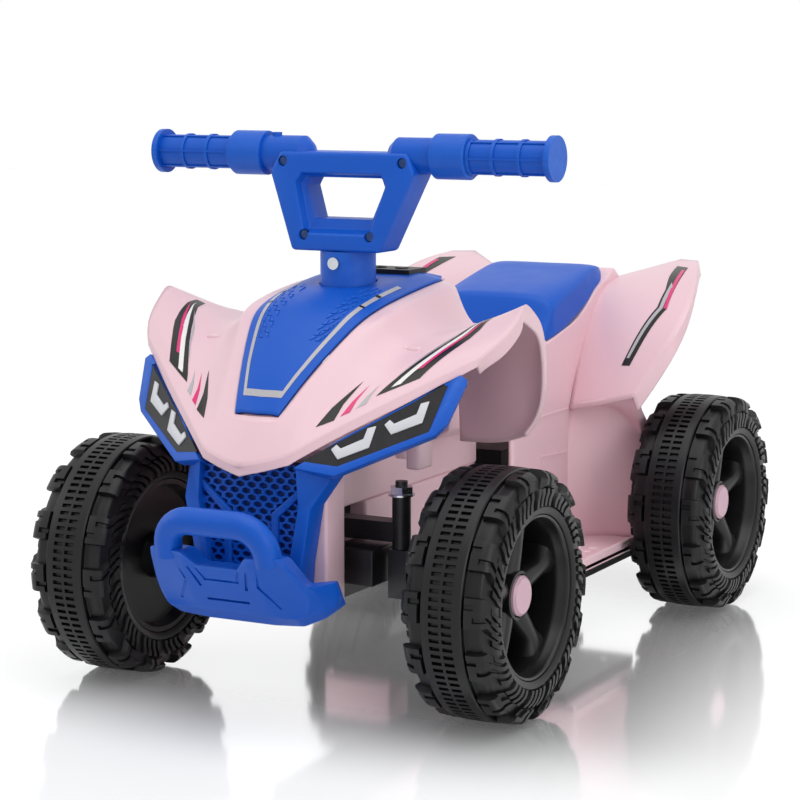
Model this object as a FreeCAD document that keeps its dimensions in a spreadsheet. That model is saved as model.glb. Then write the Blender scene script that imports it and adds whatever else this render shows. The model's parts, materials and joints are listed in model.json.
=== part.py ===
import FreeCAD, Part
import math
import os
import re
import Sketcher
from FreeCAD import Placement, Rotation, Vector

# A child's quad bike. Millimetres, degrees and counts.
# +X is the rider's left, -Y is forward, +Z is up, and the floor is at Z = 0.
SIZES = {
    # whole toy
    "wheelbase": 447, "bumper_reach": 153, "track_half": 171, "wall": 3,
    "gap": 0.3, "run_gap": 0.05, "overrun": 4,
    # tyres
    "wheel_radius": 100, "tyre_width": 78, "band_half": 16.5, "tread_depth": 6, "tyre_wall": 3.5,
    "shoulder_inset": 5, "shoulder_drop": 13, "sidewall_drop": 23, "sidewall_inset": 1.5,
    "rim_lip_inset": 4, "lug_gap": 1.5, "lug_rise": 5, "lug_angle": 15, "lug_count": 14,
    # rims and hub caps
    "tyre_height": 35.5, "rim_wall": 3.5, "rim_half": 34, "web_setback": 18, "web_wall": 4,
    "hub_radius": 18, "hub_outer": 14, "counterbore_radius": 13, "counterbore_depth": 12,
    "spoke_count": 5, "spoke_root_half": 9, "spoke_tip_half": 6, "spoke_face": 6,
    "socket_flats": 22, "socket_depth": 8,
    "cap_radius": 16, "cap_height": 9.4, "cap_edge": 2, "cap_wall": 2, "cap_face_wall": 4,
    # axles, washers and nuts
    "axle_radius": 5, "axle_reach": 13, "washer_radius": 10.5, "washer_thickness": 1.5,
    "nut_flats": 17, "nut_height": 6,
    # front axle beam and steering knuckles
    "kingpin_x": 87, "beam_bottom": 133, "beam_height": 16, "beam_front": 6, "beam_rear": 12,
    "tongue_half": 14, "tongue_height": 12, "tongue_margin": 14,
    "sleeve_radius": 7.5, "sleeve_bottom": 127.5, "sleeve_top": 170, "kingpin_top": 182,
    "knuckle_half": 8, "knuckle_bottom": 88, "collar_radius": 8,
    "arm_length": 30, "arm_bottom": 121, "arm_thickness": 5, "arm_half": 6,
    "link_pin_radius": 3, "link_thickness": 3, "beam_bolt_x": 22, "bolt_radius": 2.5,
    "bolt_flats": 8, "bolt_head": 4, "post_radius": 6, "bolt_depth": 14,
    # steering rod, bushes and stem
    "steering_setback": 71, "rod_radius": 5, "bush_radius": 9, "bush_flange": 12,
    "bush_flange_height": 2.6, "bush_length": 12, "rod_insert": 16, "stem_radius": 23,
    "stem_sink": 19.95, "stem_height": 43, "stem_wall": 3, "stem_web": 5,
    "stem_bolt_radius": 3, "stem_bolt_head": 5, "stem_bolt_drop": 9.5, "stem_hole_gap": 1.5,
    # handlebar
    "bar_setback": 7, "bar_drop": 2.5, "bar_radius": 14.9, "bar_core_radius": 10.8,
    "bar_bore_radius": 8, "bar_half": 185, "collar_half_radius": 18.5, "collar_start": 79,
    "collar_length": 31, "plate_height": 80.5, "plate_shoulder": 16.5,
    "plate_top_half": 59.5, "plate_shoulder_half": 67.5, "plate_foot_half": 44, "plate_depth": 35,
    "plate_lean": 13, "hole_top": 21, "hole_bottom": 26, "hole_top_half": 37, "hole_foot_half": 27.5,
    "screw_top_x": 55.5, "screw_top_drop": 8, "screw_low_x": 30.5, "screw_low_rise": 13,
    "screw_head_radius": 3.6, "screw_head_depth": 3, "screw_radius": 1.6, "screw_length": 24,
    "screw_recess": 5, "grip_radius": 13.9, "grip_rib": 1.2, "grip_ring_half": 1.5,
    "grip_flange_radius": 18.5, "grip_flange": 5, "grip_end": 3, "grip_rib_count": 6, "grip_rib_angle": 6,
    "horn_x": 71, "horn_radius": 4, "horn_height": 6, "horn_proud": 2.5, "horn_travel": 1.5,
    # hood, insert and dash
    "nose_reach": 105, "hood_length": 262, "fender_half_span": 167, "nose_height": 195,
    "hood_rise": 140, "insert_thickness": 4, "insert_gap": 1, "dash_half_width": 35,
    "dash_front": 41.5, "dash_length": 31,
    "dash_thickness": 4, "rocker_x": 20, "rocker_half_width": 6, "rocker_half_length": 8,
    "rocker_height": 4.5, "rocker_dip": 1.2, "rocker_pin_radius": 1.2,
    "rocker_pin_length": 2, "button_radius": 5.5, "button_height": 5,
    "socket_radius": 5, "socket_bore": 3.2, "socket_height": 5,
    # headlights
    "light_x": 72, "light_reach": 83.5, "light_z": 197.7, "light_yaw": 25.5, "light_tilt": 26.5,
    "light_length": 102, "light_rise": 87, "light_thickness": 10, "light_recess": 3, "light_panel": 2.5,
    # grille and bumper
    "grille_top": 190, "grille_bottom": 100, "grille_half": 45, "grille_foot_half": 39,
    "grille_depth": 14, "pillar_half": 64.5, "pillar_foot_half": 52.5, "pillar_depth": 23,
    "rib_width": 6, "rib_depth": 4, "rib_drop": 35, "rib_reach": 24.5,
    "bumper_half": 84, "bumper_bottom": 80, "bumper_height": 62, "bumper_depth": 77.5,
    "bumper_bar_radius": 10.8, "bumper_bar_z": 164.5, "bumper_bar_half": 42, "bumper_foot_half": 46,
    "bumper_bend": 22.5, "bumper_leg": 27, "bumper_arm_x": 20, "bumper_arm_width": 18,
    "bumper_arm_height": 18, "bumper_arm_length": 34, "bumper_arm_z": 81,
    # main body
    "body_setback": 192, "body_half": 63.5, "body_drop": 41, "body_rise": 252, "body_length": 352,
    "cowl_overlap": 17, "cowl_bottom": 192, "cowl_top": 278,
    "tunnel_half": 28.5, "tunnel_bottom": 100, "tunnel_top": 219.5, "column_reach": 68.5,
    "column_depth": 30, "column_half": 57.5, "column_bottom": 85, "column_top": 209,
    "slot_ahead": 12, "slot_behind": 48, "slot_top": 153, "floor_half": 128, "floor_thickness": 7,
    "floor_length": 154, "floor_lip": 4, "floor_lip_rise": 5, "splash_height": 42, "wing_thickness": 4,
    "panel_thickness": 7, "wing_span": 166, "wing_length": 172, "wing_rise": 132,
    # under tray
    "tray_thickness": 10, "tray_half": 119, "tray_length": 158, "spine_half": 44, "spine_tail": 21,
    "neck_half": 24, "neck_length": 32, "nose_bottom": 77, "nose_top": 98,
    "nose_ahead": 16, "bracket_inner": 36, "bracket_half": 12, "bracket_top": 112,
    "tray_screw_x": 100, "tray_screw_radius": 2, "tray_screw_head": 4, "tray_screw_head_height": 2.5,
    "tray_screw_front": 18, "tray_screw_pitch": 114,
    # drive
    "gear_module": 1.25, "pinion_teeth": 14, "idler_teeth": 28, "output_teeth": 42,
    "pressure_angle": 20, "drive_angle": 165, "gear_inner": 64, "gear_width": 10,
    "gear_backlash": 0.4, "case_inner": 50, "case_split": 67,
    "case_outer": 84, "case_clearance": 3, "idler_pin_radius": 3, "motor_radius": 14, "motor_length": 38,
    "motor_shaft_radius": 1.6, "boss_radius": 9,
    # battery and its lead
    "battery_width": 70, "battery_length": 47, "battery_height": 100, "battery_setback": 40,
    "lead_radius": 2, "lead_x": 22, "lead_rise": 24, "lead_bend": 12, "lead_inset": 10,
    # foot pedal
    "pedal_x": 95, "pedal_half": 15, "pedal_length": 62, "pedal_thickness": 5, "pedal_setback": 104,
    "pedal_tilt": 12, "pedal_base_thickness": 3, "pedal_base_margin": 7, "pedal_ear": 5,
    "pedal_pin_radius": 2.5, "pedal_pivot_rise": 7, "pedal_barrel": 4.5,
}

# Places worked out from the sizes.
INSERT_TOP_SHARE = 0.9925
PLACES = {
    "overall_length": "wheelbase + bumper_reach + wheel_radius",
    "rim_radius": "wheel_radius - tyre_height",
    "sidewall_radius": "wheel_radius - sidewall_drop",
    "body_bottom": "wheel_radius - body_drop",
    "rear_axle_y": "overall_length / 2 - wheel_radius",
    "front_axle_y": "rear_axle_y - wheelbase",
    "steering_y": "front_axle_y + steering_setback",
    "bar_y": "steering_y + bar_setback",
    "hood_front_y": "front_axle_y - nose_reach",
    "crank_pin_y": "steering_y + arm_length",
    "link_pin_y": "front_axle_y + arm_length",
    "link_bottom": "arm_bottom - gap - link_thickness",
    "pin_bottom": "link_bottom - link_thickness / 2",
    "hub_inner_x": "track_half - rim_half",
    "tray_top": "body_bottom - gap",
    "tray_bottom": "tray_top - tray_thickness",
    "floor_top": "body_bottom + floor_thickness",
    "wheel_seat": "hub_outer - counterbore_depth",
    "insert_top": f"nose_height + {INSERT_TOP_SHARE} * hood_rise",
    "stem_bottom": "insert_top - stem_sink",
    "plate_bottom": "stem_bottom + stem_height",
    "stem_bolt_z": "plate_bottom - stem_bolt_drop",
    "plate_top": "plate_bottom + plate_height",
    "plate_shoulder_z": "plate_top - plate_shoulder",
    "hole_top_z": "plate_top - hole_top",
    "hole_bottom_z": "plate_bottom + hole_bottom",
    "screw_top_z": "plate_top - screw_top_drop",
    "screw_low_z": "plate_bottom + screw_low_rise",
    "bar_z": "plate_top - bar_drop",
    "dash_z": "insert_top + gap",
    "dash_front_y": "steering_y + dash_front",
    "tongue_bottom": "beam_bottom + beam_height - tongue_height",
    "idler_offset": "gear_module * (output_teeth + idler_teeth) / 2",
    "pinion_offset": "idler_offset + gear_module * (idler_teeth + pinion_teeth) / 2",
    "bumper_bar_y": "bumper_bar_radius - overall_length / 2",
    "body_front": "rear_axle_y - body_setback",
    "cowl_length": "body_front - hood_front_y - hood_length + cowl_overlap",
    "column_front": "column_reach - front_axle_y",
    "slot_front": "slot_ahead - front_axle_y",
    "slot_rear": "-front_axle_y - slot_behind",
    "nose_front": "nose_ahead - front_axle_y",
    "spine_rear": "rear_axle_y + spine_tail",
    "pedal_heel_y": "body_front + pedal_setback",
    "pedal_pivot_z": "floor_top + gap + pedal_base_thickness + pedal_pivot_rise",
}

doc = FreeCAD.newDocument("QuadBike")
sheet = doc.addObject("Spreadsheet::Sheet", "Sizes")
for row, (size_name, size_value) in enumerate(SIZES.items(), 1):
    sheet.set(f"A{row}", size_name)
    sheet.set(f"B{row}", str(size_value))
    sheet.setAlias(f"B{row}", size_name)
doc.recompute()

ALONG = {
    "X": Rotation(Vector(0, 1, 0), 90),
    "Y": Rotation(Vector(1, 0, 0), -90),
    "Z": Rotation(),
}
SIDES = {"left": 1, "right": -1}
kept = {}


# Expressions: a plain name is a cell of the sheet or one of the places.
def bound(text):
    def swap(match):
        word = match.group(0)
        if word in PLACES:
            return "(" + bound(PLACES[word]) + ")"
        return "Sizes." + word if word in SIZES else word
    return re.sub(r"[a-z][a-z_]+", swap, str(text))


def measure(text):
    return float(sheet.evalExpression(bound(text)))


def point(x, y, z):
    return Vector(measure(x), measure(y), measure(z))


# Document objects
def new(kind, label):
    obj = doc.addObject(kind, "Piece")
    obj.Label = label
    return obj


def place(obj, x="0", y="0", z="0", rotation=None):
    if rotation is not None:
        obj.Placement = Placement(Vector(), rotation)
    for axis, text in zip("xyz", (x, y, z)):
        obj.setExpression("Placement.Base." + axis, bound(text))
    return obj


def keep(label, obj):
    obj.Label = label
    kept[label] = obj
    return obj


def block(label, lengths, corner):
    obj = new("Part::Box", label)
    for side, text in zip(("Length", "Width", "Height"), lengths):
        obj.setExpression(side, bound(text))
    return place(obj, *corner)


def rod(label, radius, length, start, axis="Z"):
    obj = new("Part::Cylinder", label)
    obj.setExpression("Radius", bound(radius))
    obj.setExpression("Height", bound(length))
    return place(obj, *start, ALONG[axis])


def hexagon(label, flats, length, start, axis="Z"):
    obj = new("Part::Prism", label)
    obj.Polygon = 6
    obj.setExpression("Circumradius", bound(f"({flats}) / sqrt(3)"))
    obj.setExpression("Height", bound(length))
    return place(obj, *start, ALONG[axis])


def joined(label, pieces):
    obj = new("Part::MultiFuse", label)
    obj.Shapes = pieces
    obj.Refine = True
    return obj


def carved(label, base, tools):
    obj = new("Part::Cut", label)
    obj.Base = base
    obj.Tool = tools[0] if len(tools) == 1 else joined(label + " cuts", tools)
    return obj


def grouped(label, pieces):
    obj = new("Part::Compound", label)
    obj.Links = pieces
    return obj


def across(side, inner, outer):
    start = inner if side > 0 else f"-({outer})"
    return start, f"({outer}) - ({inner})"


def draw(sketch, loop):
    if isinstance(loop, tuple):
        x, y, radius = loop
        centre = Vector(measure(x), measure(y), 0)
        ring = sketch.addGeometry(Part.Circle(centre, Vector(0, 0, 1), measure(radius)))
        tie(sketch, ring, 3, x, y)
        number = sketch.addConstraint(Sketcher.Constraint("Radius", ring, measure(radius)))
        sketch.setExpression(f"Constraints[{number}]", bound(radius))
        return
    corners = [Vector(measure(x), measure(y), 0) for x, y in loop]
    ends = corners[1:] + corners[:1]
    lines = [sketch.addGeometry(Part.LineSegment(a, b)) for a, b in zip(corners, ends)]
    for line, after in zip(lines, lines[1:] + lines[:1]):
        sketch.addConstraint(Sketcher.Constraint("Coincident", line, 2, after, 1))
    for line, (x, y) in zip(lines, loop):
        tie(sketch, line, 1, x, y)


def tie(sketch, item, vertex, x, y):
    for kind, text in (("DistanceX", x), ("DistanceY", y)):
        rule = Sketcher.Constraint(kind, -1, 1, item, vertex, measure(text))
        number = sketch.addConstraint(rule)
        sketch.setExpression(f"Constraints[{number}]", bound(text))


def outline(body, role, loops):
    sketch = body.newObject("Sketcher::SketchObject", "Outline")
    plane = next(item for item in body.Origin.OriginFeatures if item.Role == role)
    sketch.AttachmentSupport = [(plane, "")]
    sketch.MapMode = "FlatFace"
    for loop in loops:
        draw(sketch, loop)
    return sketch


def turned(label, role, loops):
    body = new("PartDesign::Body", label)
    sketch = outline(body, role, loops)
    spin = body.newObject("PartDesign::Revolution", "Spin")
    spin.Profile = sketch
    spin.ReferenceAxis = (sketch, ["H_Axis" if role == "XY_Plane" else "V_Axis"])
    spin.Angle = 360
    return body


def padded(label, role, loops, depth, symmetric=False):
    body = new("PartDesign::Body", label)
    pad = body.newObject("PartDesign::Pad", "Pad")
    pad.Profile = outline(body, role, loops)
    pad.setExpression("Length", bound(depth))
    if symmetric:
        pad.SideType = "Symmetric"
    body.Tip = pad
    return body


def pattern(body, feature, sketch, count):
    ring = body.newObject("PartDesign::PolarPattern", "Ring")
    ring.Originals = [feature]
    ring.Axis = (sketch, ["N_Axis" if feature.TypeId.endswith("Pad") else "H_Axis"])
    ring.Angle = 360
    ring.setExpression("Occurrences", bound(count))
    body.Tip = ring
    return ring


# Faceted solids, for moulded shells that have no flat outline
def faces_of(ring):
    first, second, third = ring[:3]
    normal = (second - first).cross(third - first)
    flat = all(abs(normal.dot(corner - first)) < normal.Length * 1e-7 for corner in ring[3:])
    cells = [ring] if flat else [(first, b, c) for b, c in zip(ring[1:], ring[2:])]
    return [Part.Face(Part.makePolygon(list(cell) + [cell[0]])) for cell in cells]


def solid_of(rings):
    solid = Part.Solid(Part.Shell([face for ring in rings for face in faces_of(ring)]))
    if solid.Volume < 0:
        solid.reverse()
    return solid


def feature(label, shape):
    obj = new("Part::Feature", label)
    obj.Shape = shape
    return obj


def spread(shares, origin, scale):
    return [Vector(*(base + share * size for base, share, size in zip(origin, trio, scale)))
            for trio in shares]


def mirrored(vector):
    return Vector(-vector.x, vector.y, vector.z)


def both_sides(half_row):
    return [mirrored(corner) for corner in reversed(half_row[1:])] + half_row


# A skin of even thickness behind a net of corners, rows by columns, with some cells left open.
def skin(net, thickness, open_cells=()):
    rows, columns = len(net), len(net[0])
    grid = [(r, c) for r in range(rows - 1) for c in range(columns - 1)]
    cells = [cell for cell in grid if cell not in open_cells]
    normals = [[Vector() for _ in range(columns)] for _ in range(rows)]
    for r, c in cells:
        across_cell = net[r + 1][c + 1] - net[r][c]
        facing = across_cell.cross(net[r][c + 1] - net[r + 1][c]).normalize()
        for i, j in ((r, c), (r, c + 1), (r + 1, c), (r + 1, c + 1)):
            normals[i][j] = normals[i][j] + facing
    back = [[corner + unit(normal) * thickness for corner, normal in zip(*rows_of)]
            for rows_of in zip(net, normals)]
    rings = []
    edges = {}
    for r, c in cells:
        corners = [(r, c), (r, c + 1), (r + 1, c + 1), (r + 1, c)]
        if c < (columns - 1) / 2:
            corners = corners[1:] + corners[:1]
        rings.append([net[i][j] for i, j in corners])
        rings.append([back[i][j] for i, j in corners])
        for start, end in zip(corners, corners[1:] + corners[:1]):
            edges.setdefault(frozenset((start, end)), []).append((start, end))
    for uses in edges.values():
        if len(uses) == 1:
            (a, b), (i, j) = uses[0]
            rings.append([net[a][b], net[i][j], back[i][j], back[a][b]])
    return solid_of(rings)


def unit(vector):
    return vector / vector.Length if vector.Length else vector


# A block through stations: each is a place along one axis and a closed ring of corners there.
def stacked(rings):
    sides = []
    for ring, after in zip(rings, rings[1:]):
        count = len(ring)
        for i in range(count):
            j = (i + 1) % count
            sides.append([ring[i], ring[j], after[j], after[i]])
    return solid_of([rings[0]] + sides + [rings[-1]])


# Wheels
def tyre(label):
    half = "tyre_width / 2"
    valley = "wheel_radius - tread_depth"
    outer = [("band_half", "wheel_radius"), ("band_half", valley),
             (f"{half} - shoulder_inset", valley),
             (f"{half} - sidewall_inset", "wheel_radius - shoulder_drop"),
             (half, "sidewall_radius"), (f"{half} - rim_lip_inset", "rim_radius + gap")]
    inner = [(f"{half} - rim_lip_inset - tyre_wall", "rim_radius + gap"),
             (f"{half} - tyre_wall", "sidewall_radius"),
             (f"{half} - sidewall_inset - tyre_wall", "wheel_radius - shoulder_drop - tyre_wall"),
             (f"{half} - shoulder_inset - tyre_wall", f"{valley} - tyre_wall")]
    right = outer + inner
    loop = right + [(f"-({x})", y) for x, y in reversed(right)]
    body = turned(label, "XY_Plane", [loop])
    lug = [("band_half + lug_gap", f"{valley} - tyre_wall / 2"),
           ("band_half + lug_gap", f"{valley} + lug_rise"),
           (f"{half} - shoulder_inset", f"{valley} + lug_rise - lug_gap"),
           (f"{half} - lug_gap / 6", "wheel_radius - shoulder_drop + lug_gap"),
           (f"{half} - sidewall_inset - tyre_wall / 2",
            "wheel_radius - shoulder_drop - tyre_wall / 2")]
    sketch = outline(body, "XY_Plane", [lug, [(f"-({x})", y) for x, y in reversed(lug)]])
    lugs = body.newObject("PartDesign::Revolution", "Lugs")
    lugs.Profile = sketch
    lugs.ReferenceAxis = (sketch, ["H_Axis"])
    lugs.setExpression("Angle", bound("lug_angle"))
    pattern(body, lugs, sketch, "lug_count")
    return body


def rim(label):
    bore = "axle_radius + run_gap"
    barrel = "rim_radius - rim_wall"
    loop = [("-rim_half", bore), ("wheel_seat", bore), ("wheel_seat", "counterbore_radius"),
            ("hub_outer", "counterbore_radius"), ("hub_outer", "hub_radius"),
            ("-web_setback", "hub_radius"), ("-web_setback", barrel), ("rim_half", barrel),
            ("rim_half", "rim_radius"), ("-rim_half", "rim_radius"), ("-rim_half", barrel),
            ("-web_setback - web_wall", barrel), ("-web_setback - web_wall", "hub_radius"),
            ("-rim_half", "hub_radius")]
    body = turned(label + " dish", "XY_Plane", [loop])
    root = "hub_radius - rim_wall / 2"
    tip = "rim_radius - rim_wall / 2"
    spoke = [("-spoke_root_half", root), ("spoke_root_half", root), ("spoke_tip_half", tip),
             ("-spoke_tip_half", tip)]
    sketch = outline(body, "YZ_Plane", [spoke])
    arm = body.newObject("PartDesign::Pad", "Spoke")
    arm.Profile = sketch
    arm.SideType = "Two sides"
    arm.setExpression("Length", bound("spoke_face"))
    arm.setExpression("Length2", bound("web_setback + web_wall / 2"))
    pattern(body, arm, sketch, "spoke_count")
    depth = "socket_depth + overrun"
    start = ("-rim_half - overrun", "0", "0")
    socket = hexagon(label + " socket", "socket_flats + gap", depth, start, "X")
    return carved(label, body, [socket])


def hub_cap(label):
    start = "hub_outer + gap"
    top = "hub_outer + cap_height"
    plug = "counterbore_radius - gap"
    loop = [(start, "cap_radius"), (f"{top} - cap_edge", "cap_radius"), (top, "cap_radius - cap_edge"),
            (top, "0"), (f"{top} - cap_face_wall", "0"), (f"{top} - cap_face_wall", f"{plug} - cap_wall"),
            ("wheel_seat + washer_thickness + gap + cap_wall", f"{plug} - cap_wall"),
            ("wheel_seat + washer_thickness + gap + cap_wall", plug), (start, plug)]
    return turned(label, "XY_Plane", [loop])


def wheels():
    for end in ("front", "rear"):
        for side, sign in SIDES.items():
            turn = Rotation() if sign > 0 else Rotation(Vector(0, 0, 1), 180)
            for name, maker in (("tyre", tyre), ("rim", rim), ("hub_cap", hub_cap)):
                label = f"{name}_{end}_{side}"
                piece = keep(label, maker(label))
                place(piece, f"{sign} * track_half", f"{end}_axle_y", "wheel_radius", turn)


# Front axle, knuckles, tie rod and steering rod
def ring_of(label, radius, bore, length, start, axis="Z"):
    solid = rod(label + " disc", radius, length, start, axis)
    return carved(label, solid, [rod(label + " bore", bore, length, start, axis)])


def nut(label, length, start, axis, flats="nut_flats"):
    solid = hexagon(label + " hex", flats, length, start, axis)
    return carved(label, solid, [rod(label + " bore", "axle_radius + run_gap", length, start, axis)])


def axle_hardware(label, sign, y):
    washer_x = "track_half + wheel_seat + gap"
    nut_x = f"{washer_x} + washer_thickness"
    start, length = across(sign, washer_x, nut_x)
    bore = "axle_radius + run_gap"
    washer = ring_of(label + " washer", "washer_radius", bore, length, (start, y, "wheel_radius"), "X")
    start, length = across(sign, nut_x, f"{nut_x} + nut_height")
    return [washer, nut(label + " nut", length, (start, y, "wheel_radius"), "X")]


def front_axle():
    y = "front_axle_y"
    reach = "kingpin_x - sleeve_radius / 4"
    solids = [block("beam bar", (f"2 * ({reach})", "beam_front + beam_rear", "beam_height"),
                    (f"-({reach})", f"{y} - beam_front", "beam_bottom"))]
    tongue = "steering_setback - beam_rear + tongue_margin + wall"
    solids.append(block("beam tongue", ("2 * tongue_half", tongue, "tongue_height"),
                        ("-tongue_half", f"{y} + beam_rear - wall", "tongue_bottom")))
    bush_seat = ("0", "steering_y", "tongue_bottom")
    bores = [rod("bush hole", "bush_radius + run_gap", "tongue_height", bush_seat)]
    length = "sleeve_top - sleeve_bottom"
    for sign in SIDES.values():
        x = f"{sign} * kingpin_x"
        solids.append(rod("sleeve", "sleeve_radius", length, (x, y, "sleeve_bottom")))
        bores.append(rod("kingpin bore", "rod_radius + run_gap", length, (x, y, "sleeve_bottom")))
        bores.append(rod("bolt hole", "bolt_radius + run_gap", "beam_height",
                         (f"{sign} * beam_bolt_x", y, "beam_bottom")))
    keep("front_axle_beam", carved("front_axle_beam", joined("beam", solids), bores))
    bolts = []
    for sign in SIDES.values():
        x = f"{sign} * beam_bolt_x"
        top = "beam_bottom + beam_height"
        shank = rod("shank", "bolt_radius", "beam_height + bolt_depth", (x, y, "beam_bottom - bolt_depth"))
        bolts.append(joined("bolt", [hexagon("head", "bolt_flats", "bolt_head", (x, y, top)), shank]))
    keep("beam_bolts", grouped("beam_bolts", bolts))


def knuckles():
    y = "front_axle_y"
    for side, sign in SIDES.items():
        x = f"{sign} * kingpin_x"
        bottom = "knuckle_bottom"
        pin = rod("kingpin", "rod_radius", f"kingpin_top - {bottom}", (x, y, bottom))
        hub = block("hub", ("2 * knuckle_half", "2 * knuckle_half", f"sleeve_bottom - gap - {bottom}"),
                    (f"{x} - knuckle_half", f"{y} - knuckle_half", bottom))
        arm = block("arm", ("2 * arm_half", "arm_length", "arm_thickness"),
                    (f"{x} - arm_half", y, "arm_bottom"))
        end = rod("arm end", "arm_half", "arm_thickness", (x, "link_pin_y", "arm_bottom"))
        link = rod("link pin", "link_pin_radius", "arm_bottom + arm_thickness - pin_bottom",
                   (x, "link_pin_y", "pin_bottom"))
        start, length = across(sign, "kingpin_x", "track_half + axle_reach")
        axle = rod("stub axle", "axle_radius", length, (start, y, "wheel_radius"), "X")
        start, length = across(sign, "kingpin_x", "hub_inner_x - gap")
        collar = rod("collar", "collar_radius", length, (start, y, "wheel_radius"), "X")
        label = f"knuckle_{side}"
        keep(label, joined(label, [pin, hub, arm, end, link, axle, collar]))
        bore = "rod_radius + run_gap"
        washer_z = "sleeve_top + gap"
        washer = ring_of("washer", "washer_radius", bore, "washer_thickness", (x, y, washer_z))
        top_nut = nut("kingpin nut", "nut_height", (x, y, f"{washer_z} + washer_thickness"), "Z")
        label = f"knuckle_nuts_{side}"
        keep(label, grouped(label, [washer, top_nut] + axle_hardware(label, sign, y)))


def tie_rod():
    z = "link_bottom"
    span = "kingpin_x"
    solids = [block("bar", (f"2 * ({span})", "2 * arm_half", "link_thickness"),
                    (f"-({span})", "link_pin_y - arm_half", z)),
              block("tab", ("2 * arm_half", "steering_setback", "link_thickness"),
                    ("-arm_half", "link_pin_y", z)),
              rod("tab end", "arm_half", "link_thickness", ("0", "crank_pin_y", z))]
    holes = [rod("crank hole", "link_pin_radius + run_gap", "link_thickness", ("0", "crank_pin_y", z))]
    for sign in SIDES.values():
        spot = (f"{sign} * kingpin_x", "link_pin_y", z)
        solids.append(rod("bar end", "arm_half", "link_thickness", spot))
        holes.append(rod("knuckle hole", "link_pin_radius + gap", "link_thickness", spot))
    keep("tie_rod", carved("tie_rod", joined("link", solids), holes))


def steering():
    y = "steering_y"
    shaft = rod("shaft", "rod_radius", "plate_bottom + rod_insert - arm_bottom", ("0", y, "arm_bottom"))
    crank = block("crank", ("2 * arm_half", "arm_length", "arm_thickness"), ("-arm_half", y, "arm_bottom"))
    end = rod("crank end", "arm_half", "arm_thickness", ("0", "crank_pin_y", "arm_bottom"))
    pin = rod("crank pin", "link_pin_radius", "arm_bottom + arm_thickness - pin_bottom",
              ("0", "crank_pin_y", "pin_bottom"))
    collar = rod("crank boss", "bush_radius", "arm_thickness", ("0", y, "arm_bottom"))
    keep("steering_rod", joined("steering_rod", [shaft, crank, end, pin, collar]))
    bore = "rod_radius + run_gap"
    seats = {"lower_steering_bush": "beam_bottom + beam_height", "upper_steering_bush": "tunnel_top"}
    for label, seat in seats.items():
        loop = [(bore, "bush_flange_height"), ("bush_flange", "bush_flange_height"),
                ("bush_flange", "gap"), ("bush_radius", "gap"), ("bush_radius", "-bush_length + gap"),
                (bore, "-bush_length + gap")]
        place(keep(label, turned(label, "XZ_Plane", [loop])), "0", y, seat)
    inner = "stem_radius - stem_wall"
    top = "plate_bottom - gap - stem_bottom"
    loop = [("rod_radius + run_gap", "0"), ("stem_radius", "0"), ("stem_radius", top), (inner, top),
            (inner, "stem_web"), ("rod_radius + run_gap + stem_wall", "stem_web"),
            ("rod_radius + run_gap + stem_wall", top), ("rod_radius + run_gap", top)]
    stem = place(turned("stem tube", "XZ_Plane", [loop]), "0", y, "stem_bottom")
    front = f"{y} - stem_radius - stem_bolt_radius"
    hole = rod("bolt hole", "stem_bolt_radius + run_gap", "stem_radius",
               ("0", f"{y} - stem_radius - overrun", "stem_bolt_z"), "Y")
    keep("steering_stem", carved("steering_stem", stem, [hole]))
    head = rod("head", "stem_bolt_head", "stem_bolt_radius", ("0", f"{front}", "stem_bolt_z"), "Y")
    shank = rod("shank", "stem_bolt_radius", "stem_radius - rod_radius - gap",
                ("0", f"{y} - stem_radius", "stem_bolt_z"), "Y")
    keep("stem_bolt", joined("stem_bolt", [head, shank]))


# Handlebar
def plate_ring(y_shift):
    corners = [("plate_foot_half", "plate_bottom"), ("plate_shoulder_half", "plate_shoulder_z"),
               ("plate_top_half", "plate_top")]
    half = []
    for x, z in corners:
        lean = f"plate_lean * (bar_z - {z}) / (plate_top - plate_bottom)"
        half.append(point(x, f"bar_y + {y_shift} - {lean}", z))
    return half + [mirrored(corner) for corner in reversed(half)]


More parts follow.
